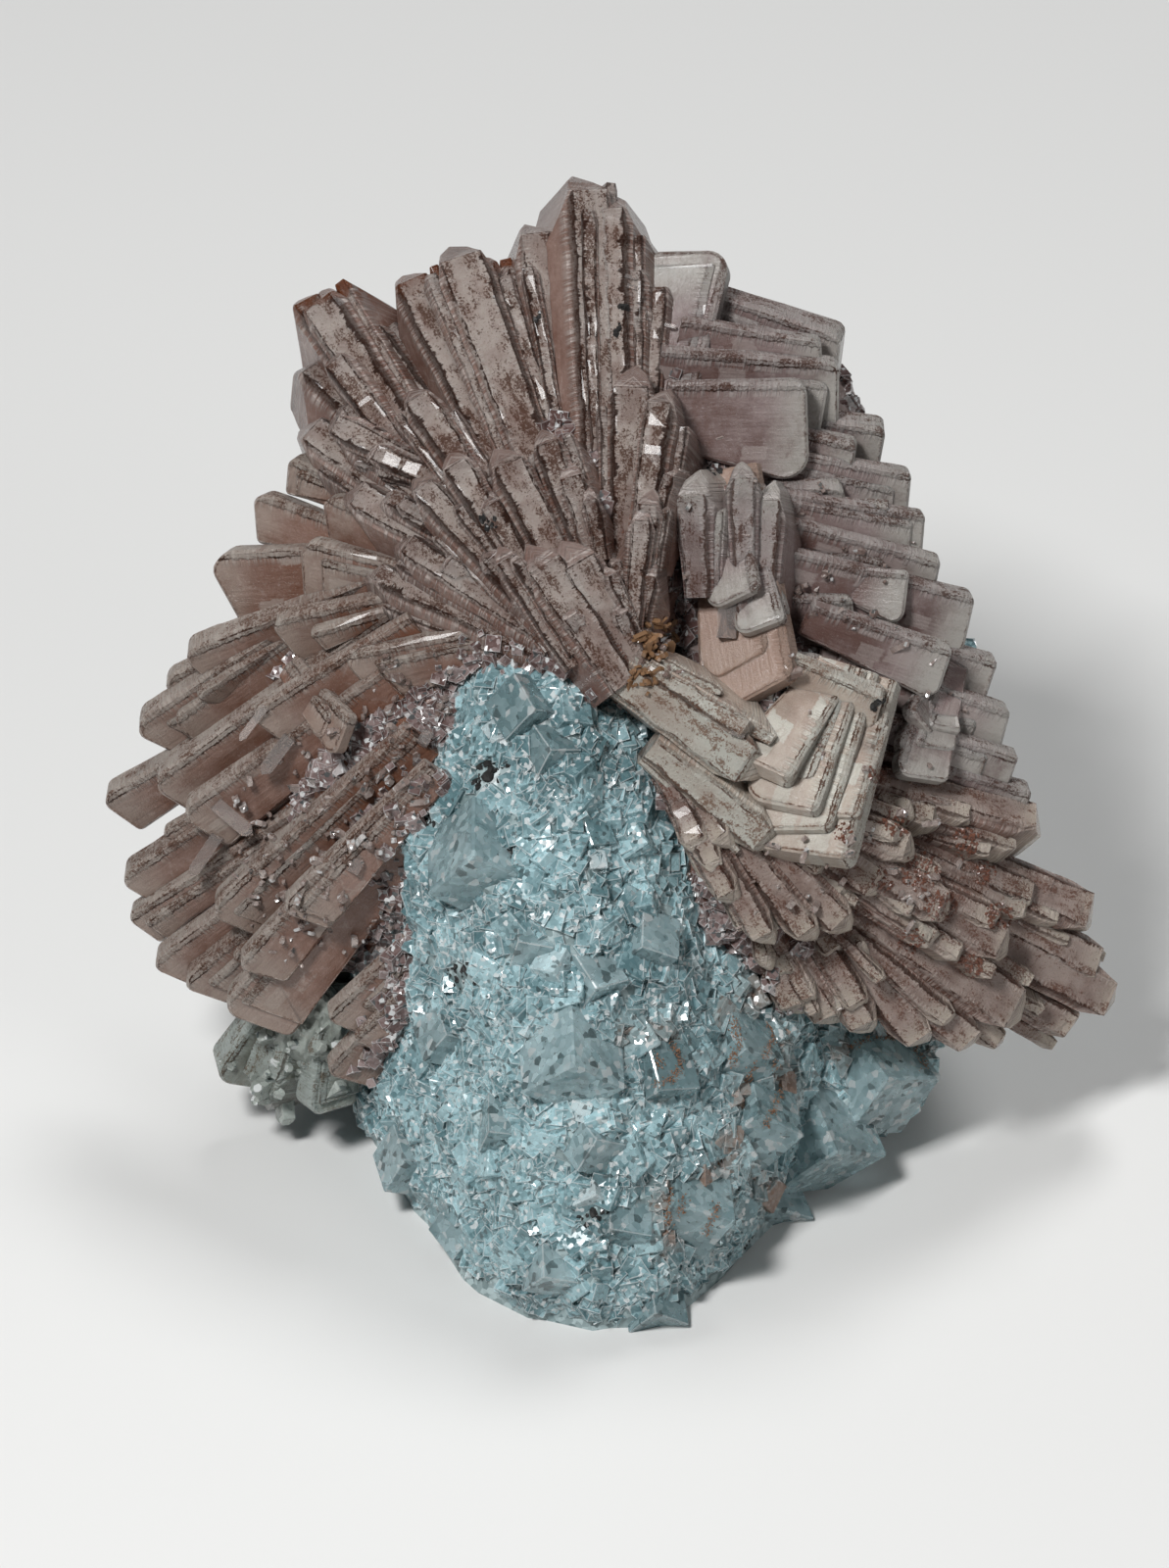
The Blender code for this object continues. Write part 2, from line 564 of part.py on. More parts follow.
def matrix_shape(name, grow=0.0):
    """The druse-covered tongue and the broken lump behind it, in one solid."""
    tongue = lump("tongue", TONGUE_RINGS, 3)
    back = lump("back", BACK_RINGS, 5, BREAKS)
    surface = surface_of(tongue, back)
    bpy.data.objects.remove(tongue)
    bpy.data.objects.remove(back)
    shape = lump(name, TONGUE_RINGS, 3, grow=grow)
    combine(shape, lump("back", BACK_RINGS, 5, BREAKS, grow), "UNION")
    combine(shape, druse("druse", surface, grow), "UNION")
    return shape


def fluorite_matrix():
    """The matrix with its flat base."""
    shape = matrix_shape("fluorite_matrix")
    combine(shape, ground_block(), "DIFFERENCE")
    keep_largest_body(shape)
    shape.data.materials.append(material("pale_fluorite", PALE_FLUORITE))
    return shape


def spray(name, rows, middle, finish, neighbours):
    """One spray of barite, cut back from the matrix and from the sprays that it meets."""
    shape = core(name, middle)
    combine(shape, crystals("blades", rows), "UNION")
    combine(shape, matrix_shape("matrix_cut", MATRIX_GAP), "DIFFERENCE")
    for other_rows, other_middle in neighbours:
        cutter = core("neighbour", other_middle, TOUCH_GAP)
        combine(cutter, crystals("neighbour_blades", other_rows, TOUCH_GAP), "UNION")
        combine(shape, cutter, "DIFFERENCE")
    keep_largest_body(shape)
    shape.data.materials.append(material(name + "_finish", finish))
    return shape


def build():
    """Clear the scene and make every piece of the specimen."""
    for obj in list(bpy.data.objects):
        bpy.data.objects.remove(obj)
    top = (TOP_FAN, TOP_CORE)
    left = (LEFT_FAN, LEFT_CORE)
    right = (RIGHT_PLATES, RIGHT_CORE)
    cream = (CREAM_BLOCK, CREAM_CORE)
    lower = (LOWER_RIGHT_SPRAY, LOWER_CORE)
    fluorite_matrix()
    spray("barite_top_fan", *top, PINK_BARITE, [])
    spray("barite_cream_block", *cream, CREAM_BARITE, [top])
    spray("barite_right_plates", *right, PINK_BARITE, [top, cream])
    spray("barite_lower_right_spray", *lower, PINK_BARITE, [cream, right])
    spray("barite_left_fan", *left, PINK_BARITE, [top])
    spray("white_barite_blocks", WHITE_BLOCKS, WHITE_CORE, WHITE_BARITE, [left])


build()
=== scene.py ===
"""Barite sprays on a druse of pale fluorite: the crystals as seen close up, their finishes, light and camera.

Sizes are millimetres of the specimen until a mesh is made, and then metres. Rows of crystals are written in
the face's own millimetres: u to the right and v up the face, from the front toe of the druse.
"""

import math
import random
from collections import namedtuple

import bmesh
import bpy
import numpy as np
from mathutils import Matrix, Vector, noise
from mathutils.bvhtree import BVHTree


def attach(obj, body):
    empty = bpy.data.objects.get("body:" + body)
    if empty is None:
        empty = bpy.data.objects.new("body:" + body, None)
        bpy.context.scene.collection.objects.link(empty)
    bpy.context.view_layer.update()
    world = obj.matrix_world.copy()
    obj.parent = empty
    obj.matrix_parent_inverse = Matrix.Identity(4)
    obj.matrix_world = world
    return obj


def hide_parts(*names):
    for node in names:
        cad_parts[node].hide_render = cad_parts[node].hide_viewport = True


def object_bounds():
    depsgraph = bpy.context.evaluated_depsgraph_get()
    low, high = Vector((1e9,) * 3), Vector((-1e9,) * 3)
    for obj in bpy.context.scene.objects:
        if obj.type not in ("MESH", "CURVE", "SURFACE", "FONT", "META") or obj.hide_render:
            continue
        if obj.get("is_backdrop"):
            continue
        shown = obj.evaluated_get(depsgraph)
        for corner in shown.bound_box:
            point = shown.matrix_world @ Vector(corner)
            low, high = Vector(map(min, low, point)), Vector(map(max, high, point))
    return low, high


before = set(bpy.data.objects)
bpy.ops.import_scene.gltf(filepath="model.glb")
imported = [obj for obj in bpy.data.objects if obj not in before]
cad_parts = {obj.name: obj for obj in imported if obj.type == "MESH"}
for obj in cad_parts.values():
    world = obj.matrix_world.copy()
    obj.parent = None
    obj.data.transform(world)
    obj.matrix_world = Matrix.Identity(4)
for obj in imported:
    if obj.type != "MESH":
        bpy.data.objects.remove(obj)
cad_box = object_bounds()

MM = 0.001

# The crystal face, how the specimen stands, and where its rows are seen from
FACE_LEAN = math.radians(35.0)
BASE_SETBACK = 34.0
EYE_DISTANCE = 1000.0
EYE_U = -4.35
EYE_V = 57.0
RIGHT = Vector((1.0, 0.0, 0.0))
UP_FACE = Vector((0.0, math.sin(FACE_LEAN), math.cos(FACE_LEAN)))
INTO_FACE = Vector((0.0, math.cos(FACE_LEAN), -math.sin(FACE_LEAN)))
NEAR = -80.0
FAR = 120.0

# The dome of the face, as the solids have it
HEART_HEIGHT = 64.0
HEART_DEPTH = -10.0
DOME_SIDE = 27.0
DOME_SIDE_REACH = 53.0
DOME_SIDE_POWER = 1.6
DOME_TOP = 16.0
DOME_TOP_REACH = 55.0
DOME_FOOT = 9.0
DOME_FOOT_REACH = 34.0

# How one tabular crystal is shaped, as the solids have it
TAIL_TAPER = 0.62
TAIL_SINK = 3.0
ROOF_ANGLE = 47.0
ANGLE_PLAY = 7.0
CORNER_ANGLES = (12.0, 46.0)
CORNER_PLACE = 0.3
PLATE_ROLL = 45.0
PLATE_REACH = 0.3

# The end of a blade: the shoulders below its roof faces and the slope where its front face ends
SHOULDER_ANGLE = 70.0
SHOULDER_PLACE = 0.5
FRONT_SLOPE_LENGTH = 0.6
FRONT_SLOPE_DEPTH = 0.45

# How a crystal looks close up: bevels beside its front face, rings and corners
BLADE_FLANK = 0.26
BLADE_FLANK_LIMIT = 0.9
PLATE_FLANK = 0.3
PLATE_SHARE = 0.68
STEP_SHARE = 0.5
TIP_ROUNDING = 0.2
TIP_ROUNDING_LIMIT = 0.8
RING = 0.35
ROUNDING = 1.3
ROUNDING_LIMIT = 0.1

# Cuts across a crystal and the slight waviness of every face
SLICE = 1.3
SLICE_TILT = 0.12
WAVE = 0.1
RIM_PLAY = 0.2
CRUST_LUMP = 0.2

# A small prism with a chisel end: its width, its length and how much of it lies below its foot
PRISM_WIDTH = 0.62
PRISM_LENGTH = 1.5
PRISM_FOOT = 0.4

# Crystal rows: tip u, tip v, tail u, tail v, width, thickness, roll in degrees, height over the dome
TOP_FAN = [
    (-5.8, 119.3, -3.5, 75, 13, 4.8, 18, 2.0),
    (-0.8, 117.2, 0, 81, 11, 4.2, -14, 0.0),
    (-10.6, 114.3, -4, 77, 11, 4.0, 12, -1.0),
    (-12.8, 110.0, -6, 81, 9, 2.6, 20, -2.5),
    (-14.9, 111.0, -8, 85, 8, 3.0, 0, -4.0),
    (-18.3, 112.0, -5.5, 78, 12, 5.2, 8, 2.0),
    (-23.1, 109.0, -11, 85, 11, 4.2, 8, 1.0),
    (-21.0, 107.6, -12, 87, 9, 3.0, 0, -1.0),
    (-31.2, 107.6, -16, 84, 10, 4.5, -14, 2.0),
    (-33.8, 106.4, -19, 84, 9, 3.4, 12, 1.0),
    (-34.2, 99.0, -20, 86, 8, 3.6, 30, -1.0),
    (-33.7, 93.0, -17, 81, 9, 4.0, 16, 1.0),
    (-30.5, 94.0, -16, 87, 8, 3.0, 0, 2.0),
    (-29.0, 86.5, -12, 77, 9, 3.8, 12, 2.5),
    (-22.0, 88.2, -7.5, 72, 8, 3.2, 6, 3.5),
    (-24.0, 81.3, -8, 71, 8, 3.0, 16, 2.5),
    (-27.0, 77.8, -8, 69, 8, 2.8, 22, 1.5),
    (-22.5, 97.2, -10, 79, 9, 3.4, 6, 2.5),
    (-18.3, 91.0, -8, 74, 8, 3.2, 0, 3.5),
    (-13.7, 91.4, -5, 75, 9, 4.2, 8, 4.0),
    (-8.8, 93.4, -1, 72, 8, 3.0, 0, 2.5),
    (-10.5, 81.6, -0.5, 67, 8, 4.6, 6, 5.0),
    (-13.3, 81.4, -5.5, 69, 7, 2.6, 0, 4.0),
    (-7.0, 82.0, 2, 67, 8, 4.4, 10, 4.0),
    (4.6, 97.6, 1, 75, 10, 3.2, -12, 3.0),
    (1.0, 100.0, 0, 77, 9, 4.5, -6, 1.0),
    (2.8, 87.4, 1, 72, 8, 2.6, -6, 3.5),
    (-26.4, 103.6, -15, 88, 9, 3.0, 0, -2.5),
    (1.6, 110.5, 1, 88, 9, 3.0, -16, -2.0),
]

LEFT_FAN = [
    (-47.2, 55.2, -24, 73, 8.0, 4.0, 62, 2.0),
    (-49.3, 61.0, -28, 76, 8.0, 4.0, 60, 0.5),
    (-46.8, 66.0, -27, 77, 6.0, 3.0, 58, -1.0),
    (-44.8, 69.0, -26, 77, 7.0, 4.0, 52, 1.5),
    (-42.2, 76.8, -26, 79, 9.2, 4.0, 76, -1.5),
    (-38.4, 85.0, -25, 81, 5.6, 3.6, 70, -2.0),
    (-34.8, 89.4, -24, 85, 4.4, 3.2, 60, -1.0),
    (-28.5, 68.2, -12, 72, 7.0, 3.4, 60, 1.0),
    (-44.4, 52.4, -25, 67, 7.0, 3.5, 62, 2.8),
    (-52.9, 54.2, -32, 67, 6.0, 4.0, 60, -0.5),
    (-50.8, 45.8, -29, 61, 7.0, 4.0, 60, 1.2),
    (-41.0, 42.2, -22, 61, 8.0, 4.0, 65, 3.2),
    (-50.3, 42.4, -30, 56, 5.0, 3.5, 62, 0.0),
    (-47.6, 37.4, -29, 52, 6.0, 3.5, 62, 1.0),
    (-38.5, 37.2, -24, 54, 6.0, 3.0, 66, 4.2),
    (-39.2, 32.2, -24, 50, 8.5, 3.6, 70, 2.0),
    (-44.4, 35.4, -28, 50, 6.0, 3.4, 62, 0.5),
    (-34.0, 43.0, -20, 58, 6.0, 3.0, 66, 4.6),
    (-28.8, 62.0, -35, 70, 5.0, 2.6, -60, 3.0),
    (-29.6, 32.0, -20, 42, 6.0, 3.0, 60, 0.5),
    (-29.6, 26.6, -20, 38, 6.0, 3.0, 60, -1.0),
    (-37.5, 62.5, -22, 73, 6.0, 3.0, 64, 3.2),
    (-33.6, 79.6, -20, 77, 7.0, 3.4, 66, 0.6),
    (-31.4, 85.0, -18, 80, 6.0, 3.2, 58, 0.0),
    (-36.0, 72.0, -21, 76, 6.0, 3.2, 60, 1.6),
]

RIGHT_PLATES = [
    (7.0, 111.8, 4, 94, 8.5, 4.0, 78, -2.0),
    (22.6, 99.0, 3, 107.0, 10.5, 6.0, -62, -2.5),
    (19.2, 93.2, 4, 95, 11.0, 4.0, -75, 1.0),
    (26.6, 90.4, 12, 94, 9.0, 5.0, -60, -2.5),
    (29.4, 86.2, 14, 90, 6.4, 3.5, -70, -1.0),
    (30.8, 82.4, 14, 86, 5.4, 3.0, -70, 0.0),
    (32.2, 77.8, 16, 83, 5.4, 3.2, -66, 0.5),
    (35.6, 73.0, 17, 79, 7.6, 3.6, -70, 1.5),
    (33.0, 68.4, 19, 74, 6.2, 3.6, -68, 3.0),
    (37.6, 67.2, 22, 73, 6.2, 3.6, -70, -0.5),
    (39.3, 62.0, 22, 69, 6.2, 3.6, -68, 0.5),
    (39.9, 58.0, 23, 64, 5.4, 3.2, -64, 1.0),
    (41.6, 54.2, 25, 60, 6.2, 3.6, -60, 0.5),
    (29.5, 57.4, 33, 70, 6.4, 3.0, 68, 2.0),
    (13.2, 65.0, 10.5, 90, 11.0, 4.2, -66, 2.0),
    (15.2, 88.2, 14, 71, 7.0, 3.2, -12, 3.0),
    (11.8, 90.2, 12, 73, 8.0, 2.8, 0, 3.5),
    (7.6, 89.4, 8, 76, 8.0, 4.0, -20, 3.0),
]

CREAM_BLOCK = [
    (15.4, 57.8, -1, 68.5, 9.0, 5.4, 10, 5.0),
    (13.4, 61.8, 2, 69, 8.0, 2.2, 0, 4.6),
    (16.2, 50.8, 3, 61, 8.0, 4.0, 16, 4.0),
    (17.6, 49.4, 25, 69, 12.0, 6.0, -70, 6.5),
    (14.0, 58.6, 22, 69.5, 7.0, 4.0, -72, 5.0),
    (26.4, 64.2, 17, 69, 5.4, 4.0, -60, 5.4),
]

LOWER_RIGHT_SPRAY = [
    (42.3, 51.4, 20, 58, 8.0, 4.0, -34, 2.0),
    (47.4, 42.4, 22, 54, 9.0, 4.6, -20, 1.0),
    (48.0, 37.6, 22, 51, 9.0, 4.0, -15, 0.5),
    (49.8, 34.8, 22, 48, 9.0, 4.6, 0, 1.0),
    (46.0, 32.8, 21, 46, 8.0, 3.6, 12, -1.0),
    (40.2, 32.8, 18, 48, 9.0, 5.6, -10, 3.0),
    (36.0, 30.8, 17, 47, 8.0, 4.0, 12, 2.0),
    (38.4, 30.6, 20, 44, 6.0, 2.8, 0, 0.0),
    (38.8, 39.4, 18, 52, 8.0, 4.6, -15, 4.0),
    (33.0, 43.4, 15, 54, 7.0, 4.0, -10, 4.6),
    (29.5, 49.4, 14, 56, 7.0, 3.6, -15, 4.4),
    (26.5, 46.0, 10, 57, 7.0, 4.0, 0, 3.4),
    (23.0, 42.0, 9, 56, 7.0, 3.6, 6, 3.2),
    (19.5, 41.0, 7, 57, 7.0, 3.2, 6, 3.2),
    (15.2, 40.6, 5, 58, 7.0, 3.0, 12, 3.0),
    (11.6, 44.6, 4, 58, 6.0, 2.8, 16, 2.6),
    (22.0, 32.6, 14, 45, 7.0, 3.6, 22, -1.0),
    (25.2, 31.6, 17, 46, 7.0, 3.6, 12, 0.0),
    (31.0, 30.8, 18, 46, 8.0, 4.0, 12, 1.0),
    (18.2, 33.4, 12, 47, 6.0, 3.2, 22, -1.5),
]

WHITE_BLOCKS = [
    (-40.6, 26.2, -33, 38, 8.0, 6.0, 60, -4.0),
    (-36.6, 23.6, -32, 38, 7.0, 6.0, 42, -2.4),
    (-31.4, 23.2, -30, 36, 6.0, 5.0, 58, -3.4),
]

# Cores that hold the tails of each spray: middle u, v, height over the dome, half sizes along u, v, depth
TOP_CORE = (-9.0, 82.0, -7.0, 17.0, 17.0, 7.0)
LEFT_CORE = (-28.0, 58.0, -7.0, 13.0, 20.0, 6.0)
RIGHT_CORE = (14.5, 82.5, -7.0, 12.0, 21.0, 6.0)
CREAM_CORE = (13.0, 61.0, -4.0, 10.0, 8.0, 5.0)
LOWER_CORE = (19.0, 47.0, -6.0, 13.0, 10.0, 6.0)
WHITE_CORE = (-33.0, 32.0, -8.0, 4.5, 6.0, 4.0)

# Rings of the two lumps of matrix: height, middle x, half width, then front, widest and back y from the toe
TONGUE_RINGS = [
    (-2.0, -3.5, 25.0, 1.5, 42.0, 60.0),
    (6.0, -3.5, 26.8, 0.8, 42.0, 60.0),
    (14.0, -2.8, 27.4, 3.5, 42.0, 60.0),
    (22.0, -3.0, 25.0, 7.0, 42.0, 60.0),
    (32.0, -6.0, 20.0, 12.5, 38.0, 60.0),
    (42.0, -8.0, 17.0, 18.0, 38.0, 60.0),
    (52.0, -8.0, 13.0, 26.5, 42.0, 60.0),
    (58.5, -7.5, 8.0, 33.5, 46.0, 58.0),
]
BACK_RINGS = [
    (-2.0, 3.0, 29.0, 20.0, 48.0, 68.0),
    (8.0, 5.0, 33.0, 18.0, 46.0, 72.0),
    (20.0, 2.0, 37.0, 28.0, 47.0, 75.0),
    (34.0, 2.0, 37.0, 31.0, 54.0, 78.0),
    (46.0, 2.0, 33.0, 36.0, 58.0, 80.0),
    (56.0, 2.0, 28.0, 41.0, 62.0, 80.0),
    (66.0, 3.0, 23.0, 50.0, 66.0, 80.0),
    (75.0, 4.0, 17.0, 59.0, 72.0, 80.0),
    (82.0, 3.0, 8.0, 69.0, 75.0, 80.0),
]
RING_SIDES = 18
NARROWING = 0.25
ROCK_PLAY = 0.9

# Flat breaks of the matrix behind: azimuth from +X, elevation, distance from the middle of the back lump
BREAK_MIDDLE = (2.0, 56.0, 36.0)
BREAKS = [
    (84.0, 14.0, 22.5),
    (108.0, -12.0, 21.5),
    (60.0, -16.0, 23.0),
    (46.0, 18.0, 27.5),
    (134.0, 10.0, 26.0),
    (30.0, -8.0, 30.5),
    (152.0, -16.0, 29.5),
    (100.0, 40.0, 30.5),
    (78.0, -42.0, 31.0),
    (128.0, -46.0, 33.0),
    (12.0, -28.0, 34.0),
    (172.0, 10.0, 33.0),
]
# Large fluorite cubes that stand out of the druse: u, v, edge, three turns in degrees
LARGE_CUBES = [
    (-15.0, 49.5, 8.0, 20, 35, 12),
    (-10.0, 40.5, 3.8, 8, 14, 2),
    (-5.0, 29.0, 7.6, 32, 40, 25),
    (7.0, 13.5, 7.0, 15, 28, 12),
    (26.0, 27.0, 8.5, 18, 24, 40),
    (20.0, 20.0, 9.0, 35, 30, 44),
    (28.0, 22.5, 6.5, 10, 38, 30),
    (-11.0, 65.0, 5.0, 24, 30, 40),
    (-8.0, 60.5, 4.0, 12, 20, 32),
    (-24.0, 54.0, 3.6, 30, 24, 10),
    (-23.0, 18.5, 5.2, 14, 22, 20),
    (4.0, 27.5, 5.4, 40, 20, 34),
    (12.0, 30.0, 6.0, 20, 36, 30),
    (0.0, 12.0, 4.6, 28, 18, 8),
    (-8.0, 7.5, 4.4, 34, 24, 18),
    (-17.0, 11.5, 5.0, 12, 30, 38),
    (3.0, 3.0, 4.5, 22, 34, 20),
    (-3.0, 37.0, 4.5, 26, 12, 40),
    (-19.0, 31.0, 4.6, 18, 28, 24),
    (3.0, 41.0, 4.6, 30, 30, 14),
    (-27.0, 22.5, 5.0, 36, 22, 30),
    (15.5, 13.5, 5.5, 16, 32, 26),
    (-13.0, 22.0, 4.6, 25, 12, 6),
    (14.0, 22.5, 6.4, 12, 40, 16),
    (-4.0, 20.0, 4.2, 6, 30, 30),
]
CUBE_BURIED = 0.18

# The druse: how many cubes of which edges, how deep they sit and how many lie flat on the surface
FRONT_CUBES = 34000
FRONT_CUBE_EDGES = (0.9, 2.3)
MIDDLE_CUBES = 2800
MIDDLE_CUBE_EDGES = (2.0, 3.6)
SIDE_CUBES = 9200
SIDE_CUBE_EDGES = (1.2, 3.4)
CUBE_SINK = 0.32
FLAT_SHARE = 0.5
FLAT_TURN = 20.0

# Rust on the druse, as lines over the face in u and v, how far the stain spreads and its own small grains
RUST_LINES = [
    [(12.3, 36.5), (15.0, 31.4), (14.0, 28.9)],
    [(15.0, 28.5), (16.1, 27.2), (14.8, 23.4), (14.0, 22.1)],
    [(10.6, 33.1), (11.6, 30.6), (10.6, 28.5)],
    [(13.1, 28.5), (11.4, 25.1)],
    [(4.2, 31.4), (5.5, 28.5), (4.7, 26.8), (2.8, 26.4)],
    [(2.9, 29.5), (3.4, 28.0)],
    [(0.2, 31.8), (0.7, 29.3)],
    [(10.2, 20.8), (9.5, 18.3), (7.8, 16.2)],
    [(4.5, 15.8), (4.2, 12.8), (4.0, 9.9)],
    [(5.7, 14.9), (5.4, 13.2)],
    [(9.3, 14.1), (8.0, 11.1)],
    [(13.7, 16.2), (14.4, 13.7)],
    [(22.5, 30.0), (25.0, 31.2), (28.5, 31.0)],
    [(29.0, 30.8), (30.5, 28.0)],
]
RUST_SPREAD = 1.5

# Places where the druse is left off and a near-black lump stands as painted shade inside a pit: u, v, radius
DARK_PITS = [
    (-14.0, 58.0, 1.9),
    (-20.5, 53.2, 1.0),
    (-16.5, 38.0, 2.0),
    (-4.7, 27.6, 0.9),
    (-3.5, 13.3, 1.7),
    (-1.0, 65.2, 0.8),
    (12.5, 10.5, 1.1),
    (-12.0, 50.0, 0.6),
]


Part = namedtuple("Part", "shift thick front short marked flank slopes step")


def face_point(u, v, depth):
    """Where an eye a metre away sees u and v at a depth, in millimetres of the world."""
    spread = 1.0 + depth / EYE_DISTANCE
    seen_u = EYE_U + (u - EYE_U) * spread
    seen_v = EYE_V + (v - EYE_V) * spread
    point = RIGHT * seen_u + UP_FACE * seen_v + INTO_FACE * depth
    point.y -= BASE_SETBACK
    return point


def face_place(point):
    """The u, v and depth of a place of the world in millimetres."""
    moved = point + Vector((0.0, BASE_SETBACK, 0.0))
    depth = moved.dot(INTO_FACE)
    spread = 1.0 + depth / EYE_DISTANCE
    u = EYE_U + (moved.dot(RIGHT) - EYE_U) / spread
    v = EYE_V + (moved.dot(UP_FACE) - EYE_V) / spread
    return u, v, depth


def seen_at(surface, u, v):
    """What the eye sees of a surface at u and v: the spot and the way it faces, or nothing."""
    start = face_point(u, v, NEAR)
    sight = (face_point(u, v, FAR) - start).normalized()
    spot, normal, _, _ = surface.ray_cast(start, sight)
    if spot is None:
        return None
    return spot, (-normal if normal.dot(sight) > 0.0 else normal)


def dome_depth(u, v):
    """How far the domed face lies behind the toe of the druse."""
    side = DOME_SIDE * (abs(u) / DOME_SIDE_REACH) ** DOME_SIDE_POWER
    if v > HEART_HEIGHT:
        rise = DOME_TOP * ((v - HEART_HEIGHT) / DOME_TOP_REACH) ** 2
    else:
        rise = DOME_FOOT * ((HEART_HEIGHT - v) / DOME_FOOT_REACH) ** 2
    return HEART_DEPTH + side + rise


class Heap:
    """Many small closed shapes gathered as arrays, to become one mesh with attributes on its points."""

    def __init__(self, *attributes):
        self.points = []
        self.faces = []
        self.smooth = []
        self.values = {name: [] for name in attributes}
        self.count = 0

    def add(self, points, faces, smooth=False, **values):
        self.points.append(np.asarray(points, float))
        self.faces += [[self.count + index for index in face] for face in faces]
        self.smooth += [smooth] * len(faces)
        for name, value in values.items():
            block = np.broadcast_to(np.asarray(value, float), (len(points), 3))
            self.values[name].append(block)
        self.count += len(points)

    def copies(self, points, faces, places, **values):
        """Add a shape once for each 4x4 matrix, with one value of each attribute per copy."""
        points = np.asarray(points, float)
        places = np.asarray(places, float)
        moved = np.einsum("kij,nj->kni", places[:, :3, :3], points) + places[:, None, :3, 3]
        self.points.append(moved.reshape(-1, 3))
        starts = self.count + len(points) * np.arange(len(places))
        for start in starts:
            self.faces += [[start + index for index in face] for face in faces]
        self.smooth += [False] * (len(faces) * len(places))
        for name, value in values.items():
            self.values[name].append(np.repeat(np.asarray(value, float), len(points), axis=0))
        if "cube" in self.values:
            edges = np.linalg.norm(places[:, :3, 0], axis=1)
            local = np.einsum("k,nj->knj", edges, points).reshape(-1, 3)
            self.values["cube"].append(local)
        self.count += len(points) * len(places)

    def piece(self, name, material):
        mesh = bpy.data.meshes.new(name)
        points = np.concatenate(self.points) * MM
        mesh.from_pydata(np.clip(points, *cad_box), [], self.faces)
        mesh.polygons.foreach_set("use_smooth", self.smooth)
        for attribute, blocks in self.values.items():
            layer = mesh.attributes.new(attribute, "FLOAT_VECTOR", "POINT")
            layer.data.foreach_set("vector", np.concatenate(blocks).astype(np.float32).ravel())
        mesh.update()
        obj = bpy.data.objects.new(name, mesh)
        bpy.context.scene.collection.objects.link(obj)
        mesh.materials.append(material)
        return obj

    def surface(self):
        """A search tree of all that is in the heap."""
        return BVHTree.FromPolygons(np.concatenate(self.points).tolist(), self.faces)


def arrays_of(bm):
    """The points and faces of a bmesh, which is then freed."""
    bm.verts.index_update()
    points = [vert.co[:] for vert in bm.verts]
    faces = [[vert.index for vert in face.verts] for face in bm.faces]
    bm.free()
    return points, faces


def parts_of(bm):
    return bm.verts[:] + bm.edges[:] + bm.faces[:]


def slice_off(bm, point, normal):
    """Cut away what lies past a plane of a closed convex solid, and close it with a flat face."""
    cut = bmesh.ops.bisect_plane(
        bm, geom=parts_of(bm), dist=1e-5, plane_co=point, plane_no=normal, clear_outer=True
    )
    rim = [item for item in cut["geom_cut"] if isinstance(item, bmesh.types.BMEdge)]
    if rim:
        bmesh.ops.contextual_create(bm, geom=rim)


def bevelled(bm, edges, offset, segments=1):
    if edges and offset > 0.0:
        bmesh.ops.bevel(
            bm, geom=edges, offset=offset, affect="EDGES", segments=segments, profile=0.5, material=-1,
            clamp_overlap=True,
        )


def roof_planes(length, side, width, thickness, play):
    """The end of a crystal seen on its thin edge: two roof faces, shoulders below them and a slope in front."""
    angle = math.radians(ROOF_ANGLE + play)
    shoulder = math.radians(SHOULDER_ANGLE + play * 0.5)
    top = Vector((length, side, 0.0))
    drop = SHOULDER_PLACE * thickness / 2.0
    for turn in (1.0, -1.0):
        yield top, Vector((math.cos(angle), turn * math.sin(angle), 0.0))
        corner = top + Vector((-drop * math.tan(angle), turn * drop, 0.0))
        yield corner, Vector((math.cos(shoulder), turn * math.sin(shoulder), 0.0))
    front = Vector((length - FRONT_SLOPE_LENGTH * thickness, 0.0, -width / 2.0))
    yield front, Vector((FRONT_SLOPE_DEPTH * width, 0.0, -FRONT_SLOPE_LENGTH * thickness)).normalized()


def corner_planes(length, width, roll, play):
    """The end of a crystal seen on its broad face: a blunt corner near one long edge."""
    side = 1.0 if roll > 0.0 else -1.0
    corner = Vector((length, 0.0, -side * CORNER_PLACE * width))
    steep, blunt = (math.radians(angle + play) for angle in CORNER_ANGLES)
    yield corner, Vector((math.cos(steep), 0.0, side * math.sin(steep)))
    yield corner, Vector((math.cos(blunt), 0.0, side * -math.sin(blunt)))


def crystal_place(row):
    """The length of a crystal and the matrix that takes its own axes into the world."""
    tip_u, tip_v, tail_u, tail_v, width, thickness, roll, proud = row
    tip = face_point(tip_u, tip_v, dome_depth(tip_u, tip_v) - proud)
    tail = face_point(tail_u, tail_v, dome_depth(tail_u, tail_v) - proud + TAIL_SINK)
    along = (tip - tail).normalized()
    inward = (INTO_FACE - along * INTO_FACE.dot(along)).normalized()
    sideways = inward.cross(along)
    turn = math.radians(roll)
    thick_axis = sideways * math.cos(turn) + inward * math.sin(turn)
    wide_axis = inward * math.cos(turn) - sideways * math.sin(turn)
    half_depth = (width * abs(math.cos(turn)) + thickness * abs(math.sin(turn))) / 2.0
    lean = along.dot(INTO_FACE)
    reach = PLATE_REACH * half_depth if abs(roll) > PLATE_ROLL else half_depth
    length = (tip - tail).length + reach * lean / math.sqrt(1.0 - lean * lean)
    place = Matrix((along, thick_axis, wide_axis)).transposed().to_4x4()
    place.translation = tail + inward * half_depth
    return length, place


def front_face(bm):
    """The largest of the faces of a crystal that look straight forwards."""
    return max(bm.faces, key=lambda face: face.calc_area() if face.normal.z < -0.95 else 0.0)


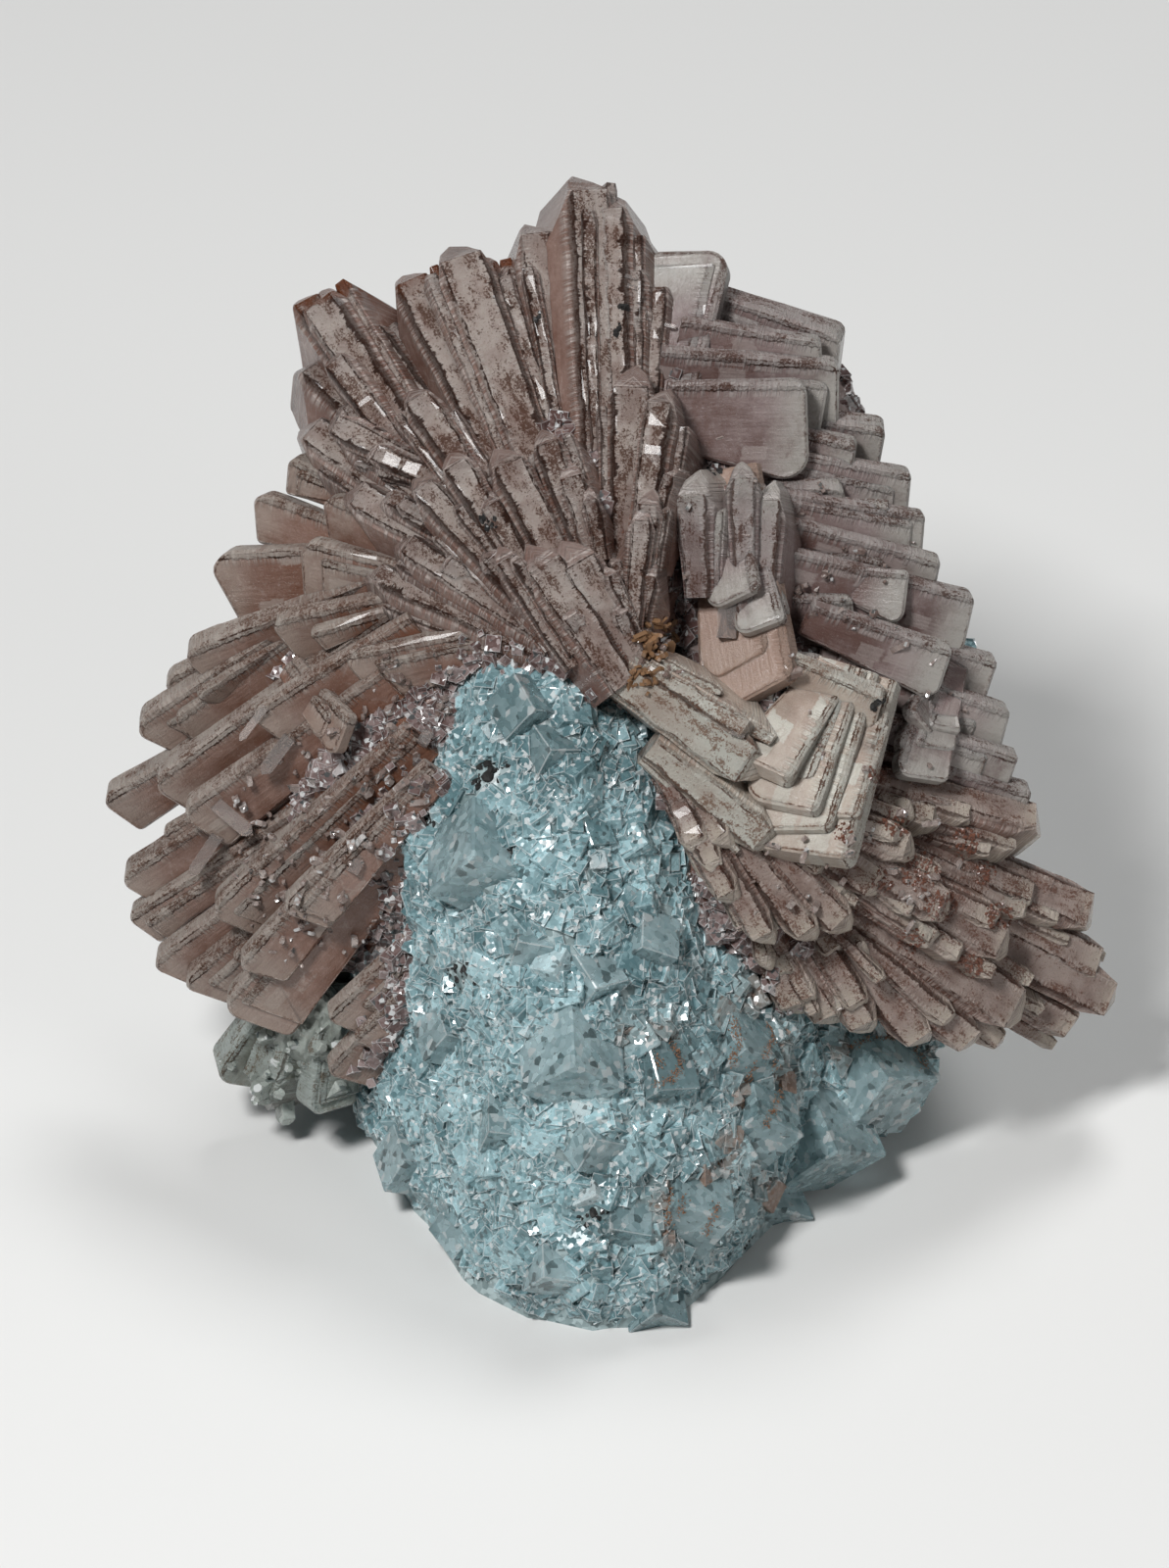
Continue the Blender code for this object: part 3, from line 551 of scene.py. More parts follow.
def broad_faces(bm):
    """The two broad faces of a plate, across its thickness."""
    return sorted(bm.faces, key=lambda face: abs(face.normal.y) * face.calc_area())[-2:]


def far_from_tail(edge, length):
    return max(vert.co.x for vert in edge.verts) > length * 0.3


def mark_ring(bm, faces, ring, marks, border, middle):
    """Inset faces by a narrow ring, with one mark on their border and another inside it."""
    for face in faces:
        for vert in face.verts:
            vert[marks] = border
        bmesh.ops.inset_region(bm, faces=[face], thickness=ring, depth=0.0)
        for vert in face.verts:
            vert[marks] = middle


def cross_cuts(bm, length, side, step, rng):
    """Cut a crystal across again and again, so that it can be slightly uneven along its length."""
    cut = length
    while cut > length * 0.15:
        cut -= rng.uniform(0.5, 1.5) * step
        normal = Vector((1.0, rng.uniform(-SLICE_TILT, SLICE_TILT), rng.uniform(-SLICE_TILT, SLICE_TILT)))
        bmesh.ops.bisect_plane(
            bm, geom=parts_of(bm), dist=1e-5, plane_co=(cut, side, 0.0), plane_no=normal.normalized()
        )


def flank_planes(part, foot):
    """The two sides of a blade: a narrow bevel beside its front face, then a wall that spreads inwards."""
    for side, slope in zip((1.0, -1.0), part.slopes):
        edge = Vector((0.0, part.shift + side * part.thick / 2.0, foot))
        yield edge, Vector((0.0, side, -1.0)).normalized()
        edge = edge + Vector((0.0, side * part.flank, part.flank))
        yield edge, Vector((0.0, side, -slope)).normalized()


def tablet(heap, place, length, width, part, planes, is_plate, look, rng):
    """One crystal or growth layer, cut at its end, with a marked front face or marked broad faces."""
    bm = bmesh.new()
    marks = bm.verts.layers.float_vector.new("marks")
    foot = part.front - width / 2.0
    spread = 0.0 if is_plate else 2.0 * (part.flank + max(part.slopes) * (width - part.front)) + 1.0
    bmesh.ops.create_cube(bm, size=1.0)
    bmesh.ops.scale(bm, vec=(length, part.thick + spread, width - part.front), verts=bm.verts)
    bmesh.ops.translate(bm, vec=(length / 2.0, part.shift, part.front / 2.0), verts=bm.verts)
    if not is_plate:
        for point, normal in flank_planes(part, foot):
            slice_off(bm, point, normal)
    tail_end = [vert for vert in bm.verts if vert.co.x < length / 2.0]
    bmesh.ops.scale(bm, vec=(1.0, TAIL_TAPER, TAIL_TAPER), verts=tail_end)
    for point, normal in planes:
        slice_off(bm, point - Vector((part.short, 0.0, 0.0)), normal)
    if len(bm.faces) < 5:
        bm.free()
        return
    if is_plate:
        corners = []
        for edge in bm.edges:
            run = (edge.verts[0].co - edge.verts[1].co).normalized()
            if abs(run.y) > 0.9 and min(vert.co.x for vert in edge.verts) > length * 0.5:
                corners.append(edge)
        bevelled(bm, corners, min(ROUNDING * rng.uniform(0.6, 1.4), ROUNDING_LIMIT * width), 3)
        rims = [edge for face in broad_faces(bm) for edge in face.edges if far_from_tail(edge, length)]
        bevelled(bm, rims, part.flank)
        mark_ring(bm, broad_faces(bm), RING, marks, (1.0, 0.0, 0.0), (0.0, 0.0, 0.0))
    else:
        near_tip = length - part.short - 1.5 * part.thick
        front = front_face(bm).verts
        tips = []
        for edge in bm.edges:
            if all(vert.co.x > near_tip and vert not in front for vert in edge.verts):
                tips.append(edge)
        bevelled(bm, tips, min(TIP_ROUNDING_LIMIT, TIP_ROUNDING * part.thick), 2)
        ring = min(RING, part.thick * 0.3)
        bm.normal_update()
        mark_ring(bm, [front_face(bm)], ring, marks, (1.0, 1.0, 0.0), (0.0, 1.0, 0.0))
    cross_cuts(bm, length - part.short, part.shift, part.step, rng)
    seed = rng.uniform(0.0, 500.0)
    own = []
    for vert in bm.verts:
        at = vert.co.copy()
        tapered = TAIL_TAPER + (1.0 - TAIL_TAPER) * at.x / length
        own.append((length - part.short - at.x, at.y / tapered - part.shift, at.z - foot * tapered))
        wave = noise.noise_vector(Vector((at.x * 0.5, at.y * 0.3, at.z * 0.2 + seed)))
        rim = vert[marks].x
        crust = noise.noise(Vector((at.x * 1.9, at.y * 1.9, seed))) * vert[marks].y
        vert.co += Vector((0.0, wave.y * (WAVE + rim * RIM_PLAY), wave.z * WAVE + crust * CRUST_LUMP))
    seen = np.array([vert[marks][:] for vert in bm.verts]) * (part.marked, part.marked, 1.0)
    seen[:, 2] = 1.0 if is_plate else 0.0
    points, faces = arrays_of(bm)
    matrix = np.asarray(place)
    world = np.asarray(points) @ matrix[:3, :3].T + matrix[:3, 3]
    size = (part.thick / 2.0, part.flank, length)
    heap.add(world, faces, place=own, size=size, marks=seen, look=look)


def blade_parts(thickness, spread, rng):
    """A crystal seen on its edge, and one or two lower ones grown against its sides."""
    slopes = (rng.uniform(*spread), rng.uniform(*spread))
    flank = min(thickness * BLADE_FLANK, BLADE_FLANK_LIMIT)
    band = thickness - flank
    yield Part(0.0, band, 0.0, 0.0, 1.0, flank, slopes, SLICE)
    for side in rng.sample((-1.0, 1.0), rng.choice((1, 1, 2))):
        thick = rng.uniform(0.6, 1.4)
        shift = side * (band + flank + thick) * rng.uniform(0.5, 0.66)
        sloped = (rng.uniform(*spread), rng.uniform(*spread))
        yield Part(shift, thick, rng.uniform(0.8, 2.2), rng.uniform(1.0, 6.0), 0.8, 0.4, sloped, SLICE)


def plate_parts(thickness, viewer, rng):
    """A crystal seen on its broad face, often with a second growth step nearer to the eye."""
    thick = thickness * PLATE_SHARE
    nearer = viewer * (thickness - thick) / 2.0
    yield Part(nearer, thick, 0.0, 0.0, 1.0, PLATE_FLANK, (0.0, 0.0), SLICE * 2.0)
    if rng.random() < STEP_SHARE:
        thick = thickness * rng.uniform(0.3, 0.6)
        shift = viewer * (thickness / 2.0 + rng.uniform(0.1, 0.5) - thick / 2.0)
        front = rng.uniform(0.8, 2.2)
        yield Part(shift, thick, front, rng.uniform(0.8, 3.5), 1.0, PLATE_FLANK, (0.0, 0.0), SLICE * 2.0)


def crystal(heap, row, play, rng, spread, stain=0.0, tone=0.5, plain=False):
    """One crystal of a row with all its layers; spread says how far the walls of a blade lean out."""
    width, thickness, roll = row[4:7]
    length, place = crystal_place(row)
    is_plate = abs(roll) > PLATE_ROLL
    if is_plate:
        parts = plate_parts(thickness, -1.0 if roll > 0.0 else 1.0, rng)
    else:
        parts = blade_parts(thickness, spread, rng)
    for number, part in enumerate(parts):
        if plain and number > 0:
            break
        if is_plate:
            planes = corner_planes(length, width, roll, play)
        else:
            planes = roof_planes(length, part.shift, width, part.thick + 2.0 * part.flank, play)
        look = (tone + rng.uniform(-0.12, 0.12), stain, rng.random())
        tablet(heap, place, length, width, part, planes, is_plate, look, rng)


def companions(rows, count, spread, shrink, rng):
    """Thinner crystals that grow beside the rows, so that gaps between them are filled."""
    for _ in range(count):
        tip_u, tip_v, tail_u, tail_v, width, thickness, roll, proud = rng.choice(rows)
        share = rng.uniform(*shrink)
        across = Vector((tip_v - tail_v, tail_u - tip_u)).normalized() * rng.uniform(-spread, spread)
        start = rng.uniform(0.0, 0.35)
        yield (
            tail_u + (tip_u - tail_u) * share + across.x,
            tail_v + (tip_v - tail_v) * share + across.y,
            tail_u + (tip_u - tail_u) * start + across.x * 0.5,
            tail_v + (tip_v - tail_v) * start + across.y * 0.5,
            width * rng.uniform(0.45, 0.8),
            rng.uniform(1.3, 3.0),
            roll + rng.uniform(-14.0, 14.0),
            proud + rng.uniform(-1.8, 0.4),
        )


def shingles(area, limit, direction, pitch, size, roll, proud, rng):
    """Rows of plates that lie over one another like shingles, ending before a slanting limit."""
    low_u, low_v, high_u, high_v = area
    v = high_v
    while v > low_v:
        u = low_u + rng.uniform(0.0, pitch[0])
        while u < high_u:
            angle = math.radians(direction + rng.uniform(-9.0, 9.0))
            length = size[0] * rng.uniform(0.8, 1.25)
            reach = (limit[0] + (limit[1] - v) * limit[2] - u) / math.cos(angle)
            length = min(length, reach) if math.cos(angle) > 0.0 else length
            if length < size[1]:
                break
            yield (
                u + length * math.cos(angle),
                v + length * math.sin(angle),
                u,
                v,
                size[1] * rng.uniform(0.8, 1.2),
                size[2] * rng.uniform(0.75, 1.3),
                roll + rng.uniform(-8.0, 8.0),
                proud + rng.uniform(-0.8, 0.8),
            )
            u += pitch[0] * rng.uniform(0.8, 1.3)
        v -= pitch[1] * rng.uniform(0.8, 1.2)


def core_arrays(middle, sunk):
    """The intergrown heart of a spray, a flattened uneven ball under the tails of its crystals."""
    u, v, proud, half_u, half_v, half_depth = middle
    bm = bmesh.new()
    bmesh.ops.create_icosphere(bm, subdivisions=5, radius=1.0)
    bmesh.ops.scale(bm, vec=(half_u, half_v, half_depth), verts=bm.verts)
    for vert in bm.verts:
        at_u = u + vert.co.x
        at_v = v + vert.co.y
        at = Vector((at_u, at_v, vert.co.z))
        rough = noise.fractal(at * 0.3, 0.8, 2.0, 5) * 1.5
        vert.co = face_point(at_u, at_v, dome_depth(at_u, at_v) - proud + sunk + vert.co.z + rough)
    bmesh.ops.recalc_face_normals(bm, faces=bm.faces)
    return arrays_of(bm)


def spray(heap, name, rows, middle, filler, spread, stains, shingled, sunk):
    """One spray: its crystals, thinner companions between them, shingles over its heart and the heart."""
    rng = random.Random(name)
    points, faces = core_arrays(middle, sunk)
    # The heart's place puts it far from any tip, so it gets the full painted shade of the depths.
    heap.add(
        points, faces, place=(30.0, 0.0, 12.0), size=(1.5, 1.0, 30.0), marks=(0.0, 0.0, 1.0),
        look=(0.4, 0.0, 0.5),
    )
    row_rng = random.Random(len(rows))
    for number, row in enumerate(rows):
        play = row_rng.uniform(-ANGLE_PLAY, ANGLE_PLAY)
        stain = stains.get(number, 0.3 * rng.random())
        crystal(heap, row, play, rng, spread, stain, rng.random())
    for row in companions(rows, *filler, rng):
        play = rng.uniform(-ANGLE_PLAY, ANGLE_PLAY)
        crystal(heap, row, play, rng, spread, 0.3 * rng.random(), rng.random(), True)
    for field in shingled:
        for row in [field] if len(field) == 8 else shingles(*field, rng):
            play = rng.uniform(-ANGLE_PLAY, ANGLE_PLAY)
            crystal(heap, row, play, rng, spread, 0.2 * rng.random(), rng.random())


def lump(rings, seed, breaks=()):
    """A lump of matrix lofted through rings, a little uneven as broken rock is."""
    rng = random.Random(seed)
    bm = bmesh.new()
    loops = []
    for height, middle, half_width, front, widest, back in rings:
        made = bmesh.ops.create_circle(bm, segments=RING_SIDES, radius=1.0, cap_ends=False)
        verts = made["verts"]
        for vert in verts:
            forward = -vert.co.y
            half_depth = widest - front if forward > 0.0 else back - widest
            across = vert.co.x * (1.0 - NARROWING * max(forward, 0.0))
            play = 1.0 + rng.uniform(-ROCK_PLAY, ROCK_PLAY) / half_width
            x = middle + across * half_width * play
            y = widest - forward * half_depth * play - BASE_SETBACK
            vert.co = Vector((x, y, height))
        loops.append(list({edge for vert in verts for edge in vert.link_edges}))
    for lower, upper in zip(loops, loops[1:]):
        bmesh.ops.bridge_loops(bm, edges=lower + upper)
    bmesh.ops.triangulate(bm, faces=bm.faces, quad_method="FIXED")
    for rim in (loops[0], loops[-1]):
        bmesh.ops.contextual_create(bm, geom=rim)
    for azimuth, elevation, distance in breaks:
        normal = Matrix.Rotation(math.radians(azimuth), 3, "Z") @ Vector(
            (math.cos(math.radians(elevation)), 0.0, math.sin(math.radians(elevation)))
        )
        middle = Vector(BREAK_MIDDLE) - Vector((0.0, BASE_SETBACK, 0.0))
        slice_off(bm, middle + normal * distance, normal)
    slice_off(bm, Vector((0.0, 0.0, 0.0)), Vector((0.0, 0.0, -1.0)))
    bmesh.ops.recalc_face_normals(bm, faces=bm.faces)
    return bm


def rough_lump(rings, seed, breaks=()):
    """A lump with the fine unevenness of rock, still flat underneath."""
    bm = lump(rings, seed, breaks)
    bmesh.ops.triangulate(bm, faces=bm.faces)
    bmesh.ops.subdivide_edges(bm, edges=bm.edges, cuts=3, use_grid_fill=True)
    for vert in bm.verts:
        if vert.co.z < 0.01:
            continue
        height = noise.fractal(vert.co * 0.3, 0.8, 2.1, 4)
        vert.co += vert.normal * (height * 0.8 - 0.5)
        vert.co.z = max(vert.co.z, 0.01)
    bmesh.ops.recalc_face_normals(bm, faces=bm.faces)
    return arrays_of(bm)


def cube_shape(chamfer):
    """A fluorite cube of edge one, with narrow flats along its edges if it is large enough to show them."""
    bm = bmesh.new()
    bmesh.ops.create_cube(bm, size=1.0)
    bevelled(bm, bm.edges[:], chamfer)
    return arrays_of(bm)


def chisel_shape():
    """A small prism with a chisel end, standing on its foot."""
    bm = bmesh.new()
    bmesh.ops.create_cube(bm, size=1.0)
    bmesh.ops.scale(bm, vec=(PRISM_WIDTH, 0.42, PRISM_LENGTH), verts=bm.verts)
    bmesh.ops.translate(bm, vec=(0.0, 0.0, PRISM_LENGTH / 2.0 - PRISM_FOOT), verts=bm.verts)
    for turn in (1.0, -1.0):
        slice_off(bm, Vector((0.0, 0.0, 1.1)), Vector((turn * 0.62, 0.0, 0.78)))
        slice_off(bm, Vector((0.0, turn * 0.1, 1.1)), Vector((0.0, turn * 0.7, 0.7)))
    return arrays_of(bm)


def grain_shape():
    """A small uneven grain."""
    bm = bmesh.new()
    bmesh.ops.create_icosphere(bm, subdivisions=1, radius=0.5)
    for vert in bm.verts:
        vert.co *= 1.0 + 0.5 * noise.noise(vert.co * 2.3)
    return arrays_of(bm)


def spots_on(points, faces, count, rng):
    """Places spread evenly over a shape, each with the way its surface faces."""
    points = np.asarray(points)
    corners = points[np.array([face[:3] for face in faces if len(face) == 3])]
    normals = np.cross(corners[:, 1] - corners[:, 0], corners[:, 2] - corners[:, 0])
    areas = np.linalg.norm(normals, axis=1)
    chosen = rng.choices(range(len(corners)), weights=areas, k=count)
    for index in chosen:
        a, b = rng.random(), rng.random()
        if a + b > 1.0:
            a, b = 1.0 - a, 1.0 - b
        one, two, three = (Vector(corner) for corner in corners[index])
        yield one + (two - one) * a + (three - one) * b, Vector(normals[index]).normalized()


def spots_seen(surface, areas, rng):
    """Places that the eye sees on a surface, from areas given as u, v, radius and count."""
    for u, v, radius, count in areas:
        for _ in range(count):
            angle = rng.uniform(0.0, 2.0 * math.pi)
            reach = radius * math.sqrt(rng.random())
            seen = seen_at(surface, u + reach * math.cos(angle), v + reach * math.sin(angle))
            if seen:
                yield seen


def spots_along(surface, lines, spacing, spread, rng):
    """Places that the eye sees along lines drawn over the face."""
    for line in lines:
        for start, end in zip(line, line[1:]):
            run = Vector(end) - Vector(start)
            for number in range(max(1, round(run.length / spacing))):
                at = Vector(start) + run * rng.random()
                seen = seen_at(surface, at.x + rng.gauss(0.0, spread), at.y + rng.gauss(0.0, spread))
                if seen:
                    yield seen


def laid(surface, row):
    """The place of a small prism that lies on a surface, from u and v to u and v, with its width."""
    start_u, start_v, end_u, end_v, width = row
    ends = [seen_at(surface, start_u, start_v), seen_at(surface, end_u, end_v)]
    if not all(ends):
        return None
    (start, normal), (end, _) = ends
    end = start + (end - start) - INTO_FACE * (end - start).dot(INTO_FACE) * 0.6
    along = (end - start).normalized()
    across = along.cross(-INTO_FACE).normalized()
    size = Matrix.Diagonal((width / PRISM_WIDTH, width / PRISM_WIDTH, (end - start).length / PRISM_LENGTH, 1.0))
    place = Matrix((across, along.cross(across), along)).transposed().to_4x4()
    place.translation = start + along * PRISM_FOOT * (end - start).length / PRISM_LENGTH - INTO_FACE * width * 0.2
    return place @ size


def spots_near(surface, other, reach, count, rng):
    """Places that the eye sees on a surface near another one, fewer and fewer away from it."""
    for _ in range(count):
        seen = seen_at(surface, rng.uniform(-52.0, 50.0), rng.uniform(2.0, 120.0))
        if seen and rng.random() > other.find_nearest(seen[0])[3] / reach:
            yield seen


def line_distance(u, v, line):
    """How far a place of the face is from a line drawn on it."""
    best = 1e9
    place = Vector((u, v))
    for start, end in zip(line, line[1:]):
        start = Vector(start)
        run = Vector(end) - start
        share = max(0.0, min(1.0, (place - start).dot(run) / run.length_squared))
        best = min(best, (place - start - run * share).length)
    return best


def rust_at(u, v):
    """How rusty the druse is at a place of the face, from 0 to 1."""
    nearest = min(line_distance(u, v, line) for line in RUST_LINES)
    return math.exp(-((nearest / RUST_SPREAD) ** 2))


def in_pit(u, v):
    """Whether a place of the face lies over one of the dark hollows."""
    return any(math.hypot(u - pit_u, v - pit_v) < radius for pit_u, pit_v, radius in DARK_PITS)


def facing(normal, spin, tilt, rng):
    """A turn that stands something along a normal, spun round it and tilted a little."""
    upright = normal.to_track_quat("Z", "Y").to_matrix().to_4x4()
    lean = Matrix.Rotation(math.radians(rng.uniform(-tilt, tilt)), 4, "X")
    sway = Matrix.Rotation(math.radians(rng.uniform(-tilt, tilt)), 4, "Y")
    return upright @ lean @ sway @ Matrix.Rotation(math.radians(spin), 4, "Z")


def cube_place(spot, normal, edge, sink, turn):
    """The matrix of a cube of that edge that stands on a surface."""
    return Matrix.Translation(spot - normal * edge * sink) @ turn @ Matrix.Scale(edge, 4)


def turned(turns):
    turn = Matrix.Identity(4)
    for axis, angle in zip("XYZ", turns):
        turn = Matrix.Rotation(math.radians(angle), 4, axis) @ turn
    return turn


def inside_box(place, edge):
    """Whether a cube stays inside the box of the solids."""
    low, high = (Vector(corner) / MM for corner in cad_box)
    reach = edge * 0.87
    spot = place.translation
    return all(low[axis] + reach < spot[axis] < high[axis] - reach for axis in range(3))


def druse(name, shape, spots, edges, sink, rng, material, keep, rusty=True):
    """Small crystals over the given places, in one mesh."""
    places = []
    looks = []
    for spot, normal in spots:
        u, v, depth = face_place(spot)
        edge = edges[0] + (edges[1] - edges[0]) * rng.random() ** 1.7
        if rng.random() < FLAT_SHARE:
            turn = facing(normal, rng.uniform(0.0, 90.0), FLAT_TURN, rng)
        else:
            turn = turned([rng.uniform(0.0, 90.0) for _ in range(3)])
        place = cube_place(spot, normal, edge, sink, turn)
        if not keep(spot, normal, u, v, edge) or not inside_box(place, edge):
            continue
        places.append(np.asarray(place))
        rust = rust_at(u, v) if rusty and normal.dot(INTO_FACE) < 0.0 else 0.0
        looks.append((rng.random(), rust * rng.uniform(0.2, 1.0), edge))
    heap = Heap("look", "cube")
    heap.copies(*shape, places, look=looks)
    return heap.piece(name, material)


def new_material(name):
    """A material with its tree and its Principled shader."""
    made = bpy.data.materials.new(name)
    made.use_nodes = True
    return made, made.node_tree, made.node_tree.nodes["Principled BSDF"]


def node(tree, kind, inputs=None, **settings):
    """Add a node, set what it is told, and join or fill its inputs."""
    made = tree.nodes.new(kind)
    for key, value in settings.items():
        setattr(made, key, value)
    for key, value in (inputs or {}).items():
        if isinstance(value, bpy.types.NodeSocket):
            tree.links.new(value, made.inputs[key])
        else:
            made.inputs[key].default_value = value
    return made


def maths(tree, operation, one, two=0.0):
    return node(tree, "ShaderNodeMath", {0: one, 1: two}, operation=operation).outputs[0]


def times(tree, *values):
    """The product of several values."""
    result = values[0]
    for value in values[1:]:
        result = maths(tree, "MULTIPLY", result, value)
    return result


def ramp(tree, value, start, end, low=0.0, high=1.0):
    """A smooth step of a value."""
    made = node(
        tree, "ShaderNodeMapRange",
        {"Value": value, "From Min": start, "From Max": end, "To Min": low, "To Max": high},
        interpolation_type="SMOOTHSTEP",
    )
    return made.outputs[0]


def mix(tree, factor, one, two):
    made = node(tree, "ShaderNodeMix", {"Factor": factor}, data_type="RGBA")
    for socket, value in ((made.inputs[6], one), (made.inputs[7], two)):
        if isinstance(value, bpy.types.NodeSocket):
            tree.links.new(value, socket)
        else:
            socket.default_value = value
    return made.outputs[2]


def noise_of(tree, vector, scale, detail=3.0, roughness=0.55):
    made = node(
        tree, "ShaderNodeTexNoise",
        {"Vector": vector, "Scale": scale, "Detail": detail, "Roughness": roughness},
    )
    return made.outputs[0]


def attribute_of(tree, name):
    """The three values of a point attribute."""
    read = node(tree, "ShaderNodeAttribute", attribute_name=name)
    return node(tree, "ShaderNodeSeparateXYZ", {0: read.outputs["Vector"]}).outputs


def new_group(name, inputs, outputs):
    """A shader node group with named values in and out."""
    group = bpy.data.node_groups.new(name, "ShaderNodeTree")
    for label, value in inputs.items():
        socket = group.interface.new_socket(label, in_out="INPUT", socket_type="NodeSocketFloat")
        socket.default_value = value
    for label in outputs:
        group.interface.new_socket(label, in_out="OUTPUT", socket_type="NodeSocketFloat")
    return group, group.nodes.new("NodeGroupInput"), group.nodes.new("NodeGroupOutput")


def crystal_marks_group():
    """Where a crystal has its band, broken outlines, specks, stripes, a painted highlight along unbroken rims,
    frosted windows, veils, clouds and painted shade in its depths.
    """
    group, given, wanted = new_group(
        "crystal_marks",
        {"Outline Share": 0.5, "Speck Share": 0.5, "Band Width": 1.3, "Window Share": 0.3},
        ["Band", "Lines", "Specks", "Stripes And Rim Highlight", "Chevrons", "Height", "Windows", "Veils", "Tip", "Deep", "Tone",
         "Stain", "Patches", "Cloud", "Flecks", "Zones"],
    )

    def send(label, value):
        group.links.new(value, wanted.inputs[label])

    def told(label):
        return given.outputs[label]

    def combined(x, y=0.0, z=0.0):
        return node(group, "ShaderNodeCombineXYZ", {0: x, 1: y, 2: z}).outputs[0]

    from_tip, across, depth = attribute_of(group, "place")
    half, _, length = attribute_of(group, "size")
    rim, front, plate = attribute_of(group, "marks")
    tone, stain, chance = attribute_of(group, "look")
    objects = node(group, "ShaderNodeTexCoord").outputs["Object"]
    blade = maths(group, "SUBTRACT", 1.0, plate)
    beside = maths(group, "ABSOLUTE", across)
    wander = maths(group, "SUBTRACT", noise_of(group, objects, 2300.0, 3.0, 0.7), 0.5)
    patches = noise_of(group, objects, 300.0, 3.0)
    cloud = noise_of(group, objects, 190.0, 6.0, 0.72)

    # The band: the front face of a blade, and a strip beside the front edge of a plate
    past = maths(group, "SUBTRACT", depth, told("Band Width"))
    strip = times(group, plate, ramp(group, maths(group, "ADD", past, times(group, wander, 0.9)), 0.12, -0.12))
    band = maths(group, "MAXIMUM", times(group, blade, ramp(group, front, 0.3, 0.8)), strip)
    send("Band", band)

    # Ragged broken lines along the border of the band and the tips of plates, and a wider one on one side of it
    broken = ramp(group, maths(group, "ADD", patches, times(group, told("Outline Share"), 0.3)), 0.55, 0.68)
    border = ramp(group, maths(group, "ADD", rim, times(group, wander, 1.4)), 0.72, 0.95)
    near_seam = maths(group, "ABSOLUTE", maths(group, "ADD", past, times(group, wander, 0.7)))
    seam = times(group, plate, ramp(group, near_seam, 0.13, 0.05))
    seed = times(group, chance, 40.0)
    chain = noise_of(group, combined(times(group, from_tip, 0.5), seed), 1.0, 5.0, 0.75)
    one_side = times(group, across, ramp(group, chance, 0.49, 0.51, -1.0, 1.0))
    inside = maths(group, "ADD", maths(group, "SUBTRACT", half, one_side), times(group, wander, 0.9))
    reach = times(group, ramp(group, chain, 0.45, 0.75, 0.05, 1.3), told("Outline Share"))
    edged = times(group, blade, front, ramp(group, maths(group, "SUBTRACT", inside, reach), 0.1, -0.1))
    outlines = times(group, maths(group, "MAXIMUM", border, seam), broken)
    send("Lines", maths(group, "MAXIMUM", outlines, edged))

    # A fine brown crust in ragged patches, thick on the band and little elsewhere
    grains = noise_of(group, objects, 4300.0, 3.0, 0.8)
    lengthwise = combined(times(group, from_tip, 0.6), times(group, across, 1.0), maths(group, "ADD", depth, seed))
    clusters = noise_of(group, lengthwise, 1.0, 4.0, 0.7)
    clusters = maths(group, "ADD", clusters, times(group, told("Speck Share"), 0.12))
    regions = combined(times(group, from_tip, 0.2), times(group, across, 0.45), seed)
    zones = ramp(group, noise_of(group, regions, 1.0, 4.0, 0.65), 0.4, 0.62)
    send("Zones", zones)
    clusters = maths(group, "ADD", clusters, ramp(group, zones, 0.0, 1.0, -0.12, 0.1))
    dense = maths(group, "ADD", times(group, grains, 1.7), times(group, clusters, 1.2))
    edge = maths(group, "MAXIMUM", band, times(group, rim, 0.8))
    send("Specks", times(group, ramp(group, dense, 1.5, 1.72), ramp(group, edge, 0.0, 1.0, 0.2, 1.0)))
    send("Flecks", ramp(group, grains, 0.38, 0.32))

    # Short stripes across bands and flanks, a painted highlight along unbroken borders, and chevrons that follow the
    # roof at a blade's tip
    crossed = combined(times(group, from_tip, 4.0), times(group, across, 0.5), seed)
    stripes = ramp(group, noise_of(group, crossed, 1.0, 2.0, 0.6), 0.42, 0.62)
    fold = maths(group, "SUBTRACT", from_tip, beside)
    chevron = noise_of(group, combined(times(group, fold, 3.2), seed), 1.0, 3.0, 0.7)
    near_tip = times(group, blade, ramp(group, from_tip, 8.0, 1.5), maths(group, "SUBTRACT", 1.0, band))
    near_band = times(group, ramp(group, depth, 1.9, 0.7), maths(group, "SUBTRACT", 1.0, times(group, band, blade)))
    near_border = times(group, blade, front, ramp(group, maths(group, "SUBTRACT", half, beside), 0.8, 0.4))
    ticks = times(group, stripes, maths(group, "MAXIMUM", near_band, near_border))
    lined = maths(group, "MAXIMUM", times(group, ramp(group, chevron, 0.52, 0.62), near_tip), ticks)
    # Painted highlight: a thin pale line along the border wherever its dark outline is absent, as a rim that catches
    # the light.
    lined = maths(group, "MAXIMUM", lined, times(group, border, maths(group, "SUBTRACT", 1.0, broken)))
    send("Stripes And Rim Highlight", lined)
    send("Chevrons", times(group, ramp(group, chevron, 0.5, 0.38), near_tip))

    # Frosted rectangular windows on broad faces
    cells = combined(times(group, from_tip, 0.30), times(group, depth, 0.55), seed)
    voronoi = node(group, "ShaderNodeTexVoronoi", {"Vector": cells, "Scale": 1.0, "Randomness": 0.8},
                   distance="CHEBYCHEV")
    drawn = node(group, "ShaderNodeSeparateXYZ", {0: voronoi.outputs["Color"]}).outputs[0]
    chosen = ramp(group, maths(group, "ADD", drawn, told("Window Share")), 0.96, 1.0)
    framed = ramp(group, maths(group, "ADD", voronoi.outputs["Distance"], times(group, wander, 0.25)), 0.46, 0.36)
    send("Windows", times(group, plate, chosen, framed, maths(group, "SUBTRACT", 1.0, band)))

